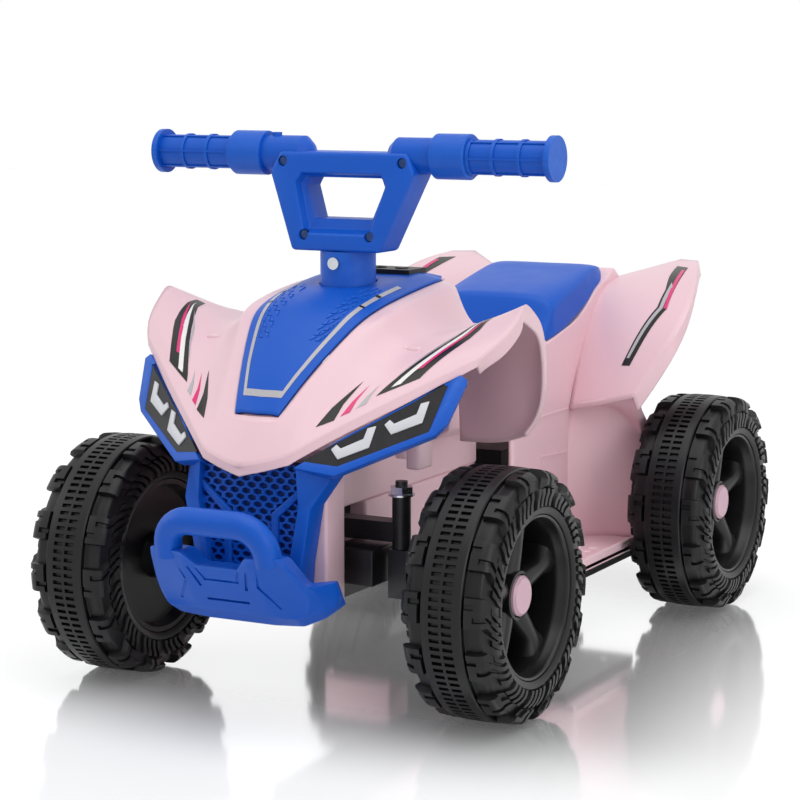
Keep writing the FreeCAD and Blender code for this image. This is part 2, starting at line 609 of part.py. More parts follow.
def handlebar():
    plate = feature("plate", stacked([plate_ring("-plate_depth / 2"), plate_ring("plate_depth / 2")]))
    depth = "2 * (plate_depth + plate_lean)"
    window = [("-hole_foot_half", "hole_bottom_z"), ("hole_foot_half", "hole_bottom_z"),
              ("hole_top_half", "hole_top_z"), ("-hole_top_half", "hole_top_z")]
    hole = place(padded("finger hole", "XZ_Plane", [window], depth, True), "0", "bar_y", "0")
    solids = [plate]
    cuts = [hole]
    core_end = "bar_half - grip_end - gap"
    for sign in SIDES.values():
        for radius, inner, outer in (("bar_radius", "hole_top_half", "collar_start"),
                                     ("collar_half_radius", "collar_start", "collar_start + collar_length"),
                                     ("bar_core_radius", "collar_start", core_end)):
            start, length = across(sign, inner, outer)
            solids.append(rod("tube", radius, length, (start, "bar_y", "bar_z"), "X"))
        start, length = across(sign, "plate_top_half + wall", f"{core_end} + overrun")
        cuts.append(rod("tube bore", "bar_bore_radius", length, (start, "bar_y", "bar_z"), "X"))
    screws = []
    for x, z in (("screw_top_x", "screw_top_z"), ("screw_low_x", "screw_low_z")):
        for sign in SIDES.values():
            lean = f"plate_lean * (bar_z - {z}) / (plate_top - plate_bottom)"
            seat = f"bar_y - plate_depth / 2 - {lean} + screw_recess"
            at = f"{sign} * {x}"
            cuts.append(rod("head hole", "screw_head_radius + gap", "screw_recess + overrun",
                            (at, f"{seat} - screw_recess - overrun", z), "Y"))
            cuts.append(rod("shank hole", "screw_radius + run_gap", "screw_length", (at, seat, z), "Y"))
            head_start = (at, f"{seat} - screw_head_depth", z)
            head = rod("head", "screw_head_radius", "screw_head_depth", head_start, "Y")
            shank = rod("shank", "screw_radius", "screw_length - gap", (at, seat, z), "Y")
            screws.append(joined("screw", [head, shank]))
    keep("handlebar_screws", grouped("handlebar_screws", screws))
    cuts.append(rod("rod socket", "rod_radius + run_gap", "rod_insert + gap + overrun",
                    ("0", "steering_y", "plate_bottom - overrun")))
    horn_z = "bar_z + bar_radius + horn_proud - horn_height"
    cuts.append(rod("horn hole", "horn_radius + gap", "horn_height + 2 * horn_travel + gap",
                    ("-horn_x", "bar_y", f"{horn_z} - 2 * horn_travel - gap")))
    whole = carved("handlebar", joined("bar", solids), cuts)
    room = "2 * bar_half"
    for label, start in (("handlebar_front", f"bar_y - {room}"), ("handlebar_rear", "bar_y")):
        half = block("half", (room, room, room), ("-bar_half", start, "bar_z - bar_half"))
        split = new("Part::Common", label)
        split.Base = whole
        split.Tool = half
        keep(label, split)
    keep("horn_button", rod("horn_button", "horn_radius", "horn_height", ("-horn_x", "bar_y", horn_z)))


def grips():
    start = "collar_start + collar_length + gap"
    inner = "bar_core_radius + gap"
    flange = "bar_half - grip_flange"
    rise = "grip_radius + grip_rib"
    for side, sign in SIDES.items():
        loop = [(start, inner), (start, rise), (f"{start} + 2 * grip_ring_half", rise),
                (f"{start} + 2 * grip_ring_half", "grip_radius")]
        for step in (1, 2):
            middle = f"{start} + ({flange} - ({start})) * {step} / 3"
            loop += [(f"{middle} - grip_ring_half", "grip_radius"), (f"{middle} - grip_ring_half", rise),
                     (f"{middle} + grip_ring_half", rise), (f"{middle} + grip_ring_half", "grip_radius")]
        loop += [(flange, "grip_radius"), (flange, "grip_flange_radius"), ("bar_half", "grip_flange_radius"),
                 ("bar_half", "0"), ("bar_half - grip_end", "0"), ("bar_half - grip_end", inner)]
        label = f"grip_{side}"
        body = turned(label, "XY_Plane", [loop])
        rib = [(f"{start} + grip_ring_half", "grip_radius - grip_rib"), (f"{start} + grip_ring_half", rise),
               (f"{flange} + grip_ring_half", rise),
               (f"{flange} + grip_ring_half", "grip_radius - grip_rib")]
        sketch = outline(body, "XY_Plane", [rib])
        ribs = body.newObject("PartDesign::Revolution", "Ribs")
        ribs.Profile = sketch
        ribs.ReferenceAxis = (sketch, ["H_Axis"])
        ribs.setExpression("Angle", bound("grip_rib_angle"))
        pattern(body, ribs, sketch, "grip_rib_count")
        turn = Rotation() if sign > 0 else Rotation(Vector(0, 0, 1), 180)
        place(keep(label, body), "0", "bar_y", "bar_z", turn)


# Hood, from the nose to the rear skirts of the mudguards, as shares of its span, length and rise.
# Columns run from the middle outwards: centre, insert edge, ridge, valley, mudguard, edge and lip.
HOOD_SHARES = [
    [(0, 0, 0), (0.12, 0.02, 0.03), (0.26, 0.05, 0.09), (0.44, 0.145, 0.235), (0.69, 0.28, 0.415),
     (0.915, 0.41, 0.585), (0.9, 0.44, 0.535)],
    [(0, 0, 0.09), (0.12, 0.02, 0.12), (0.26, 0.055, 0.18), (0.435, 0.16, 0.315), (0.69, 0.295, 0.49),
     (0.935, 0.43, 0.66), (0.93, 0.45, 0.58)],
    [(0, 0.095, 0.31), (0.12, 0.105, 0.31), (0.235, 0.13, 0.325), (0.44, 0.225, 0.405),
     (0.71, 0.34, 0.57), (0.975, 0.47, 0.71), (0.975, 0.485, 0.62)],
    [(0, 0.195, 0.51), (0.195, 0.22, 0.525), (0.295, 0.25, 0.54), (0.49, 0.325, 0.55), (0.75, 0.425, 0.67),
     (1, 0.515, 0.765), (1, 0.525, 0.675)],
    [(0, 0.315, 0.705), (0.27, 0.35, 0.72), (0.355, 0.38, 0.73), (0.53, 0.445, 0.66), (0.78, 0.51, 0.745),
     (1.01, 0.555, 0.82), (1.01, 0.565, 0.73)],
    [(0, 0.51, 0.895), (0.32, 0.51, 0.855), (0.405, 0.52, 0.85), (0.55, 0.545, 0.71), (0.785, 0.575, 0.79),
     (1.01, 0.59, 0.87), (1.01, 0.59, 0.775)],
    [(0, 0.825, 0.98), (0.34, 0.825, 0.945), (0.42, 0.82, 0.92), (0.565, 0.72, 0.715), (0.78, 0.685, 0.78),
     (1, 0.63, 0.9), (1, 0.615, 0.8)],
    [(0, 0.905, 0.985), (0.33, 0.905, 0.95), (0.41, 0.89, 0.915), (0.55, 0.84, 0.7), (0.765, 0.785, 0.735),
     (0.985, 0.73, 0.81), (0.99, 0.695, 0.74)],
    [(0, 0.97, 0.985), (0.305, 0.965, 0.96), (0.38, 0.955, 0.9), (0.515, 0.92, 0.67), (0.735, 0.865, 0.66),
     (0.95, 0.84, 0.64), (0.965, 0.8, 0.61)],
    [(0, 0.99, 0.82), (0.305, 0.985, 0.805), (0.38, 0.98, 0.745), (0.49, 0.92, 0.345), (0.71, 0.885, 0.345),
     (0.92, 0.89, 0.27), (0.935, 0.845, 0.27)],
    [(0, 1, 0.6), (0.305, 0.995, 0.6), (0.38, 0.99, 0.6), (0.465, 0.885, 0), (0.685, 0.875, 0.015),
     (0.845, 0.86, 0.07), (0.86, 0.82, 0.075)],
]
INSERT_ROWS = range(2, 8)
# The insert's rows follow the hood's opening; each has its centre and the fold beside it.
INSERT_SHARES = [
    [(0, 0.1, 0.33), (0.07, 0.105, 0.33)],
    [(0, 0.2, 0.545), (0.12, 0.205, 0.545)],
    [(0, 0.32, 0.745), (0.175, 0.335, 0.745)],
    [(0, 0.51, 0.925), (0.215, 0.51, 0.91)],
    [(0, 0.825, 0.9925), (0.225, 0.825, 0.9925)],
    [(0, 0.905, 0.9925), (0.22, 0.905, 0.9925)],
    [(0, 0.945, 0.9925), (0.2, 0.945, 0.9925)],
]
INSERT_LIFT_SHARE = 0.016


def hood_frame():
    origin = (0, measure("hood_front_y"), measure("nose_height"))
    scale = (measure("fender_half_span"), measure("hood_length"), measure("hood_rise"))
    return origin, scale


def hood():
    frame = hood_frame()
    net = [both_sides(spread(row, *frame)) for row in HOOD_SHARES]
    rest = measure("cowl_top + gap")
    middle = len(net[0]) // 2
    for column in range(middle - 2, middle + 3):
        net[-1][column].z = rest
    opening = [(row, column) for row in INSERT_ROWS for column in (middle - 1, middle)]
    keep("front_hood", feature("front_hood", skin(net, measure("wall"), opening)))
    rows = []
    for number, row in zip(range(INSERT_ROWS[0], INSERT_ROWS[-1] + 2), INSERT_SHARES):
        edge = spread([HOOD_SHARES[number][1]], *frame)[0]
        edge.x -= measure("insert_gap")
        edge.z += INSERT_LIFT_SHARE * frame[1][2]
        if number == INSERT_ROWS[0]:
            edge.y += measure("insert_gap")
        if number == INSERT_ROWS[-1] + 1:
            edge.y -= measure("insert_gap + wall")
        rows.append(both_sides(spread(row, *frame) + [edge]))
    panel = feature("insert panel", skin(rows, measure("insert_thickness")))
    hole = rod("stem hole", "stem_radius + stem_hole_gap", "2 * stem_radius",
               ("0", "steering_y", "stem_bottom - stem_radius"))
    keep("hood_insert", carved("hood_insert", panel, [hole]))


def dash():
    y = "dash_front_y"
    middle = f"{y} + dash_length / 2"
    plate = block("dash plate", ("2 * dash_half_width", "dash_length", "dash_thickness"),
                  ("-dash_half_width", y, "dash_z"))
    room = ("2 * (rocker_half_width + gap)", "2 * (rocker_half_length + 2 * gap)", "dash_thickness")
    corner = ("-rocker_x - rocker_half_width - gap", f"{middle} - rocker_half_length - 2 * gap", "dash_z")
    pin_z = "dash_z + dash_thickness / 2"
    pin_reach = "rocker_half_width + rocker_pin_length"
    holes = [block("rocker window", room, corner),
             rod("button hole", "button_radius + gap", "dash_thickness", ("rocker_x", middle, "dash_z")),
             rod("socket hole", "socket_radius + run_gap", "dash_thickness", ("0", middle, "dash_z")),
             rod("pin holes", "rocker_pin_radius + run_gap", f"2 * ({pin_reach} + gap)",
                 (f"-rocker_x - ({pin_reach}) - gap", middle, pin_z), "X")]
    keep("dash_panel", carved("dash_panel", plate, holes))
    keep("charge_socket", ring_of("charge_socket", "socket_radius", "socket_bore", "socket_height",
                                  ("0", middle, "dash_z")))
    keep("power_button", rod("power_button", "button_radius", "button_height - 2 * wall / 3",
                             ("rocker_x", middle, "dash_z + 2 * wall / 3")))
    low = "wall / 3 + rocker_dip"
    profile = [("-rocker_half_length", low), ("0", "wall / 3"), ("rocker_half_length", low),
               ("rocker_half_length", f"{low} + rocker_height"), ("0", "wall / 3 + rocker_height"),
               ("-rocker_half_length", f"{low} + rocker_height")]
    key = padded("rocker key", "YZ_Plane", [profile], "2 * rocker_half_width", True)
    place(key, "-rocker_x", middle, "dash_z")
    pins = rod("rocker pins", "rocker_pin_radius", f"2 * ({pin_reach})",
               (f"-rocker_x - ({pin_reach})", middle, pin_z), "X")
    keep("direction_rocker", joined("direction_rocker", [key, pins]))


# Headlights: outlines as shares of the light's length along the bonnet edge and its rise
LIGHT_SHARES = [(0, 0), (0.755, 0.38), (0.85, 0.49), (1, 0.895), (0.945, 0.945), (0.575, 0.695),
                (0.075, 0.363), (-0.305, 0.07)]
LIGHT_PANEL_SHARES = [(0.025, 0.09), (0.71, 0.415), (0.85, 0.84), (0.815, 0.85), (0.575, 0.675),
                      (0.075, 0.343), (-0.24, 0.135)]


def light_loop(shares, sign):
    loop = [(f"{sign} * {u} * light_length", f"{v} * light_rise") for u, v in shares]
    return loop if sign > 0 else loop[::-1]


def headlights():
    for side, sign in SIDES.items():
        turn = Rotation(Vector(0, 0, 1), sign * measure("light_yaw"))
        turn = turn * Rotation(Vector(1, 0, 0), 90 - measure("light_tilt"))
        spot = (f"{sign} * light_x", "front_axle_y - light_reach", "light_z")
        loop = light_loop(LIGHT_SHARES, sign)
        frame = padded(f"light frame {side}", "XY_Plane", [loop], "light_thickness")
        frame.Tip.Reversed = True
        pocket = frame.newObject("PartDesign::Pocket", "Recess")
        pocket.Profile = outline(frame, "XY_Plane", [light_loop(LIGHT_PANEL_SHARES, sign)])
        pocket.setExpression("Length", bound("light_recess"))
        frame.Tip = pocket
        front = turn.multVec(Vector(0, 0, 1))
        frame_label = f"headlight_frame_{side}"
        keep(frame_label, frame)
        panel_label = f"headlight_panel_{side}"
        panel = padded(panel_label, "XY_Plane", [light_loop(LIGHT_PANEL_SHARES, sign)], "light_panel")
        keep(panel_label, panel)
        sink = front * -measure("light_recess - gap / 3")
        frame.Placement = Placement(point(*spot), turn)
        panel.Placement = Placement(point(*spot) + sink, turn)


# Grille with side pillars and two V ribs
def grille():
    back_y = "-column_front - gap"
    top = [("-grille_half", "grille_top"), ("grille_half", "grille_top")]
    foot = [("grille_foot_half", "grille_bottom"), ("-grille_foot_half", "grille_bottom")]
    screen = place(padded("screen", "XZ_Plane", [top + foot], "grille_depth"), "0", back_y, "0")
    solids = [screen]
    for sign in SIDES.values():
        rings = []
        for depth, shrink in (("pillar_depth", "wall"), ("0", "0")):
            corners = [("grille_half - wall", "grille_top"),
                       (f"pillar_half - {shrink}", f"grille_top - {shrink}"),
                       (f"pillar_foot_half - {shrink}", "grille_bottom"),
                       ("grille_foot_half - wall", "grille_bottom")]
            rings.append([point(f"{sign} * ({x})", f"{back_y} - {depth}", z) for x, z in corners])
        solids.append(feature("pillar", stacked(rings)))
        upper = "grille_top - rib_drop"
        lower = f"{upper} - rib_reach"
        rib = [(f"{sign} * grille_half", f"{upper}"), (f"{sign} * (grille_half - rib_reach)", f"{lower}"),
               (f"{sign} * (grille_half - rib_reach)", "grille_bottom"),
               (f"{sign} * (grille_half - rib_reach - rib_width)", "grille_bottom"),
               (f"{sign} * (grille_half - rib_reach - rib_width)", f"{lower} + rib_width / 2"),
               (f"{sign} * grille_half", f"{upper} + 3 * rib_width / 2")]
        bar = padded("rib", "XZ_Plane", [rib], "grille_depth + rib_depth")
        solids.append(place(bar, "0", back_y, "0"))
    keep("front_grille", joined("front_grille", solids))


# Bumper: profiles at stations across its width, as shares of depth (from the front) and height
BUMPER_SHARES = [
    (0, [(0.29, 0.9), (0.51, 0.14), (0.78, 0), (0.86, 0.1), (0.5, 0.8)]),
    (0.44, [(0.29, 0.9), (0.51, 0.14), (0.78, 0), (0.86, 0.1), (0.5, 0.8)]),
    (0.52, [(0.3, 1), (0.53, 0.16), (0.79, 0.02), (0.86, 0.12), (0.52, 0.87)]),
    (0.7, [(0.33, 0.98), (0.55, 0.18), (0.8, 0.04), (0.87, 0.14), (0.56, 0.86)]),
    (0.86, [(0.47, 0.8), (0.66, 0.22), (0.88, 0.1), (0.96, 0.18), (0.72, 0.7)]),
    (1, [(0.79, 0.64), (0.83, 0.35), (0.92, 0.25), (1, 0.28), (0.94, 0.56)]),
]


def bend(a, corner, b, radius):
    first = unit(a - corner)
    last = unit(b - corner)
    half_turn = first.getAngle(last) / 2
    reach = radius / math.tan(half_turn)
    inward = unit(first + last)
    middle = corner + inward * (radius / math.sin(half_turn) - radius)
    return corner + first * reach, middle, corner + last * reach


def tube(route, bends, radius):
    edges = []
    here = route[0]
    for before, corner, after, size in zip(route, route[1:], route[2:], bends):
        start, middle, end = bend(before, corner, after, size)
        edges += [Part.LineSegment(here, start).toShape(), Part.Arc(start, middle, end).toShape()]
        here = end
    edges.append(Part.LineSegment(here, route[-1]).toShape())
    path = Part.Wire(edges)
    section = Part.Wire([Part.makeCircle(radius, route[0], route[1] - route[0])])
    return path.makePipeShell([section], True, False)


def bumper():
    front = measure("-overall_length / 2")
    origin = (front, measure("bumper_bottom"))
    scale = (measure("bumper_depth"), measure("bumper_height"))
    rings = []
    for x_share, profile in BUMPER_SHARES:
        x = x_share * measure("bumper_half")
        rings.append([Vector(x, origin[0] + y * scale[0], origin[1] + z * scale[1]) for y, z in profile])
    whole = [[mirrored(corner) for corner in ring] for ring in reversed(rings[1:])] + rings
    solids = [feature("bumper plate", stacked(whole))]
    foot_z = "bumper_bar_z - bumper_leg - bumper_bend / 2"
    foot = point("bumper_foot_half", "bumper_bar_y + bumper_bar_radius", foot_z)
    corner = point("bumper_bar_half", "bumper_bar_y", "bumper_bar_z")
    route = [foot, corner, mirrored(corner), mirrored(foot)]
    bar = tube(route, [measure("bumper_bend")] * 2, measure("bumper_bar_radius"))
    solids.append(feature("bumper bar", bar))
    for sign in SIDES.values():
        start, width = across(sign, "bumper_arm_x", "bumper_arm_x + bumper_arm_width")
        solids.append(block("bumper arm", (width, "bumper_arm_length", "bumper_arm_height"),
                            (start, "-column_front - gap - bumper_arm_length", "bumper_arm_z")))
    keep("front_bumper", joined("front_bumper", solids))


# Main body. Stations run backwards; each has half profiles from the bottom edge up to the middle,
# as shares of the half width and of the rise from the floor's underside.
BODY_SHARES = [
    (0, [(1, 0), (1, 0.505), (0.97, 0.765), (0.78, 0.87), (0, 0.87)]),
    (0.2, [(1, 0), (1, 0.505), (0.97, 0.77), (0.82, 0.84), (0, 0.84)]),
    (0.23, [(1, 0), (1, 0.505), (0.98, 0.77), (0.94, 0.78), (0, 0.78)]),
    (0.355, [(1, 0), (1, 0.51), (0.99, 0.805), (0.96, 0.82), (0, 0.82)]),
]
TAIL_SHARES = [
    (0.33, [(1, 0.32), (1.02, 0.51), (0.99, 0.8), (0.96, 0.815), (0, 0.815)]),
    (0.435, [(1, 0.32), (1.03, 0.515), (1, 0.835), (0.97, 0.85), (0, 0.85)]),
    (0.54, [(1, 0.32), (1.08, 0.55), (1, 0.915), (0.97, 0.93), (0, 0.93)]),
    (0.6, [(1, 0.32), (1.14, 0.58), (1, 0.945), (0.97, 0.96), (0, 0.96)]),
    (0.67, [(1, 0.32), (1.16, 0.6), (1, 0.97), (0.94, 1), (0, 1)]),
    (0.71, [(0.97, 0.33), (1.13, 0.61), (0.97, 0.96), (0.89, 0.99), (0, 0.99)]),
    (0.77, [(0.94, 0.35), (1.06, 0.6), (0.9, 0.88), (0.81, 0.91), (0, 0.92)]),
    (0.81, [(0.77, 0.4), (0.87, 0.53), (0.74, 0.71), (0.68, 0.745), (0, 0.755)]),
]
COWL_SHARES = [
    (0, [(0.72, 0), (0.93, 0.1), (0.9, 0.9), (0.78, 1), (0, 1)]),
    (1, [(0.94, 0), (1, 0.1), (0.97, 0.9), (0.78, 1), (0, 1)]),
]
# The wings run from the footwell up over the tyre: columns are the body side, the middle, the
# crest and the turned-down flange. The panels close the footwells behind and reach up to the wings.
WING_SHARES = [
    [(0.43, 0.09, -0.02), (0.62, 0.04, 0.045), (0.81, 0.02, 0.11), (0.83, 0.045, 0.01)],
    [(0.385, 0.3, 0.42), (0.65, 0.2, 0.405), (0.915, 0.14, 0.4), (0.935, 0.135, 0.255)],
    [(0.38, 0.505, 0.725), (0.69, 0.41, 0.71), (1, 0.31, 0.665), (1.01, 0.3, 0.565)],
    [(0.38, 0.685, 0.815), (0.65, 0.7, 0.87), (0.91, 0.67, 0.885), (0.92, 0.685, 0.82)],
    [(0.38, 0.8, 0.84), (0.675, 1.04, 0.965), (0.805, 0.98, 0.965), (0.82, 0.99, 0.855)],
]
PANEL_SHARES = [
    [(0.485, 0.13, 0.02), (0.74, 0.25, 0.02), (1, 0.285, 0.02)],
    [(0.485, 0.07, 0.56), (0.745, 0.23, 0.56), (1, 0.31, 0.56)],
    [(0.52, 0.12, 0.975), (0.8, 0.2, 0.99), (1, 0.325, 0.89)],
    [(0.555, 0.1, 0.985), (0.805, 0.055, 1.05), (1.045, 0.035, 1.115)],
]
WING_START_SHARE = 0.7
WING_FOOT_SHARE = 0.525


def profile_ring(y, half, inset):
    bottom_drop = measure("overrun") if inset else 0
    corners = []
    for number, (x, z) in enumerate(half):
        drop = bottom_drop if number == 0 else inset
        corners.append(Vector(max(x - inset, 0), y, z - drop))
    return corners + [mirrored(corner) for corner in reversed(corners[:-1])]


def stations(shares, front_y, length, floor, rise, inset, ends=(0, 0)):
    rings = []
    half_width = measure("body_half")
    for number, (y_share, half) in enumerate(shares):
        y = front_y + y_share * length
        if number == 0:
            y += ends[0]
        if number == len(shares) - 1:
            y += ends[1]
        rings.append(profile_ring(y, [(x * half_width, floor + z * rise) for x, z in half], inset))
    return stacked(rings)


def box_between(low, high):
    size = high - low
    return Part.makeBox(size.x, size.y, size.z, low)


def main_body():
    wall = measure("wall")
    over = measure("overrun")
    floor = measure("body_bottom")
    rise = measure("body_rise")
    length = measure("body_length")
    front = measure("body_front")
    cowl_length = measure("cowl_length")
    cowl_front = front - cowl_length
    cowl_floor = measure("cowl_bottom")
    cowl_rise = measure("cowl_top - cowl_bottom")
    shells = [stations(BODY_SHARES, front, length, floor, rise, 0),
              stations(TAIL_SHARES, front, length, floor, rise, 0),
              stations(COWL_SHARES, cowl_front, cowl_length, cowl_floor, cowl_rise, 0, (0, over))]
    cowl_room = (cowl_floor + wall + over, cowl_rise - wall - over)
    rooms = [stations(BODY_SHARES, front, length, floor, rise, wall, (wall, -wall)),
             stations(TAIL_SHARES, front, length, floor, rise, wall, (-over, -wall)),
             stations(COWL_SHARES, cowl_front, cowl_length, *cowl_room, wall, (wall, 2 * over))]
    tunnel_front = "-column_front + column_depth / 2"
    shells.append(box_between(point("-tunnel_half", tunnel_front, "tunnel_bottom"),
                              point("tunnel_half", "body_front + wall", "tunnel_top")))
    low = point("-tunnel_half + wall", f"{tunnel_front} - overrun", "tunnel_bottom - overrun")
    high = point("tunnel_half - wall", "body_front + overrun + wall", "tunnel_top - wall")
    rooms.append(box_between(low, high))
    shells.append(box_between(point("-column_half", "-column_front", "column_bottom"),
                              point("column_half", "-column_front + column_depth", "column_top")))
    low = point("-column_half + wall", "-column_front + wall", "column_bottom - overrun")
    high = point("column_half - wall", "-column_front + column_depth - wall", "column_top - wall")
    rooms.append(box_between(low, high))
    shape = shells[0].fuse(shells[1:]).cut(rooms)
    shape = shape.cut(box_between(point("-body_half", "-slot_front", "tunnel_bottom - overrun"),
                                  point("body_half", "-slot_rear", "slot_top")))
    hole = Part.makeCylinder(measure("bush_radius + run_gap"), measure("2 * wall + 2 * overrun"),
                             point("0", "steering_y", "tunnel_top - wall - overrun"))
    shape = shape.cut(hole)
    shape = shape.fuse(footwells()).removeSplitter()
    keep("main_body", feature("main_body", shape))


def footwells():
    solids = []
    inner = "body_half - wall"
    wing_front = measure(f"body_front + {WING_START_SHARE} * floor_length")
    foot_rise = measure(f"{WING_FOOT_SHARE} * body_rise")
    wing_origin = (0, wing_front, measure("body_bottom") + foot_rise)
    wing_scale = (measure("wing_span"), measure("wing_length"), measure("wing_rise"))
    panel_origin = (0, wing_front, measure("body_bottom"))
    panel_scale = (measure("floor_half"), measure("wing_length"), foot_rise)
    wing = [spread(row, wing_origin, wing_scale) for row in WING_SHARES]
    panel = [spread(row, panel_origin, panel_scale) for row in PANEL_SHARES]
    for turn in (lambda corner: corner, mirrored):
        front = "body_front"
        rear = "body_front + floor_length"
        lip_inner = "floor_half - floor_lip"
        parts = [box_between(point(inner, front, "body_bottom"), point("floor_half", rear, "floor_top")),
                 box_between(point(lip_inner, front, "body_bottom"),
                             point("floor_half", rear, "floor_top + floor_lip_rise")),
                 box_between(point(inner, front, "body_bottom"),
                             point("floor_half", f"{front} + wall", "body_bottom + splash_height"))]
        side = 1 if turn is not mirrored else -1
        if side < 0:
            parts = [part.mirror(Vector(), Vector(1, 0, 0)) for part in parts]
        solids += parts
        for net, thickness in ((wing, "wing_thickness"), (panel, "panel_thickness")):
            rows = [[turn(corner) for corner in row][::side] for row in net]
            solids.append(skin(rows, measure(thickness)))
    return solids


# Seat: stations along its length, as shares of the body's length, half width and rise
SEAT_SHARES = [
    (0.237, [(0.93, 0), (0.92, 0.02), (0.62, 0.035), (0, 0.04)]),
    (0.275, [(0.97, 0), (0.94, 0.085), (0.7, 0.13), (0, 0.14)]),
    (0.36, [(0.98, 0), (0.94, 0.1), (0.73, 0.135), (0, 0.145)]),
    (0.49, [(0.97, 0), (0.92, 0.075), (0.74, 0.105), (0, 0.105)]),
    (0.54, [(0.95, 0), (0.89, 0.056), (0.73, 0.08), (0, 0.08)]),
    (0.6, [(0.92, 0), (0.86, 0.04), (0.71, 0.06), (0, 0.06)]),
    (0.65, [(0.8, 0), (0.78, 0.012), (0.66, 0.018), (0, 0.018)]),
]


def deck_share(y_share):
    deck = [(y, half[-1][1]) for y, half in BODY_SHARES[2:3] + TAIL_SHARES[1:5]]
    for (y, z), (next_y, next_z) in zip(deck, deck[1:]):
        if y_share <= next_y:
            break
    return z + (next_z - z) * (y_share - y) / (next_y - y)


def seat():
    rings = []
    for y_share, half in SEAT_SHARES:
        base = measure("body_bottom + 2 * gap") + deck_share(y_share) * measure("body_rise")
        y = measure("body_front") + y_share * measure("body_length")
        corners = [Vector(x * measure("body_half"), y, base + z * measure("body_rise")) for x, z in half]
        rings.append(corners + [mirrored(corner) for corner in reversed(corners[:-1])])
    keep("seat", feature("seat", stacked(rings)))


# Under tray with the front nose, rear axle brackets and its screws
def under_tray():
    front = "body_front"
    solids = [block("plate", ("2 * tray_half", "tray_length", "tray_thickness"),
                    ("-tray_half", front, "tray_bottom")),
              block("spine", ("2 * spine_half", f"spine_rear - {front} - wall", "tray_thickness"),
                    ("-spine_half", f"{front} + wall", "tray_bottom")),
              block("strip", ("2 * neck_half", "neck_length + wall", "tray_thickness"),
                    ("-neck_half", f"{front} - neck_length", "tray_bottom")),
              block("neck", ("2 * neck_half", "neck_length - gap", "nose_top - tray_bottom"),
                    ("-neck_half", f"{front} - neck_length", "tray_bottom")),
              block("nose", ("2 * neck_half", f"nose_front + {front} - gap", "nose_top - nose_bottom"),
                    ("-neck_half", "-nose_front", "nose_bottom"))]
    room = ("2 * (neck_half - wall)", f"nose_front + {front} - neck_length - 2 * wall",
            "nose_top - nose_bottom - wall")
    cuts = [block("nose hollow", room, ("-neck_half + wall", "-nose_front + wall", "nose_bottom"))]
    for sign in SIDES.values():
        start, width = across(sign, "bracket_inner", "spine_half")
        solids.append(block("bracket", (width, "2 * bracket_half", "bracket_top - tray_top + wall"),
                            (start, "rear_axle_y - bracket_half", "tray_top - wall")))
        spot = (f"{sign} * beam_bolt_x", "front_axle_y", "nose_top - wall")
        solids.append(rod("post", "post_radius", "beam_bottom - gap - nose_top + wall", spot))
        cuts.append(rod("bolt hole", "bolt_radius + run_gap", "beam_bottom - nose_bottom",
                        (f"{sign} * beam_bolt_x", "front_axle_y", "nose_bottom")))
    cuts.append(rod("axle hole", "axle_radius + run_gap", "2 * spine_half",
                    ("-spine_half", "rear_axle_y", "wheel_radius"), "X"))
    screws = []
    for sign in SIDES.values():
        for step in (0, 1):
            x = f"{sign} * tray_screw_x"
            y = f"{front} + tray_screw_front + {step} * tray_screw_pitch"
            low = (x, y, "tray_bottom")
            seat_z = "tray_bottom + gap + tray_screw_head_height"
            cuts.append(rod("screw hole", "tray_screw_radius + run_gap", "tray_thickness", low))
            cuts.append(rod("head hole", "tray_screw_head + gap", "tray_screw_head_height + gap", low))
            head = rod("head", "tray_screw_head", "tray_screw_head_height", (x, y, "tray_bottom + gap"))
            shank = rod("shank", "tray_screw_radius", f"tray_top - ({seat_z})", (x, y, seat_z))
            screws.append(joined("screw", [head, shank]))
    keep("under_tray", carved("under_tray", joined("tray", solids), cuts))
    keep("tray_screws", grouped("tray_screws", screws))


# Rear axle and drive
def rear_axle():
    y = "rear_axle_y"
    reach = "track_half + axle_reach"
    start = (f"-({reach})", y, "wheel_radius")
    keep("rear_axle", rod("rear_axle", "axle_radius", f"2 * ({reach})", start, "X"))
    pieces = []
    for side, sign in SIDES.items():
        pieces += axle_hardware(f"rear axle {side}", sign, y)
    keep("rear_axle_nuts", grouped("rear_axle_nuts", pieces))
    start, length = across(1, "spine_half + gap", "hub_inner_x - gap")
    spot = (start, y, "wheel_radius")
    label = "rear_wheel_spacer"
    keep(label, ring_of(label, "collar_radius", "axle_radius + run_gap", length, spot, "X"))


# Tooth heights as shares of the module, and places along a flank
ROOT_SHARE = 1.1
TIP_SHARE = 0.8
FLANK_SHARES = (0, 0.35, 0.7, 1)


def gear_outline(teeth, first_tooth):
    module = measure("gear_module")
    pitch = module * teeth / 2
    base = pitch * math.cos(math.radians(measure("pressure_angle")))
    root = pitch - ROOT_SHARE * module
    tip = pitch + TIP_SHARE * module
    slack = measure("gear_backlash") / 2 / pitch

    def roll(radius):
        angle = math.acos(min(1, base / radius))
        return math.tan(angle) - angle

    start = max(root, base)
    flank = [start + (tip - start) * share for share in FLANK_SHARES]
    half_tooth = math.pi / 2 / teeth + roll(pitch) - slack / 2
    sides = [(radius, half_tooth - roll(radius)) for radius in flank]
    tooth = [(root, sides[0][1] + slack / 2)] + sides
    corners = []
    for number in range(teeth):
        middle = first_tooth + 2 * math.pi * number / teeth
        for radius, half in tooth:
            corners.append((radius, middle - half))
        for radius, half in reversed(tooth):
            corners.append((radius, middle + half))
    return [Vector(0, radius * math.cos(angle), radius * math.sin(angle)) for radius, angle in corners]


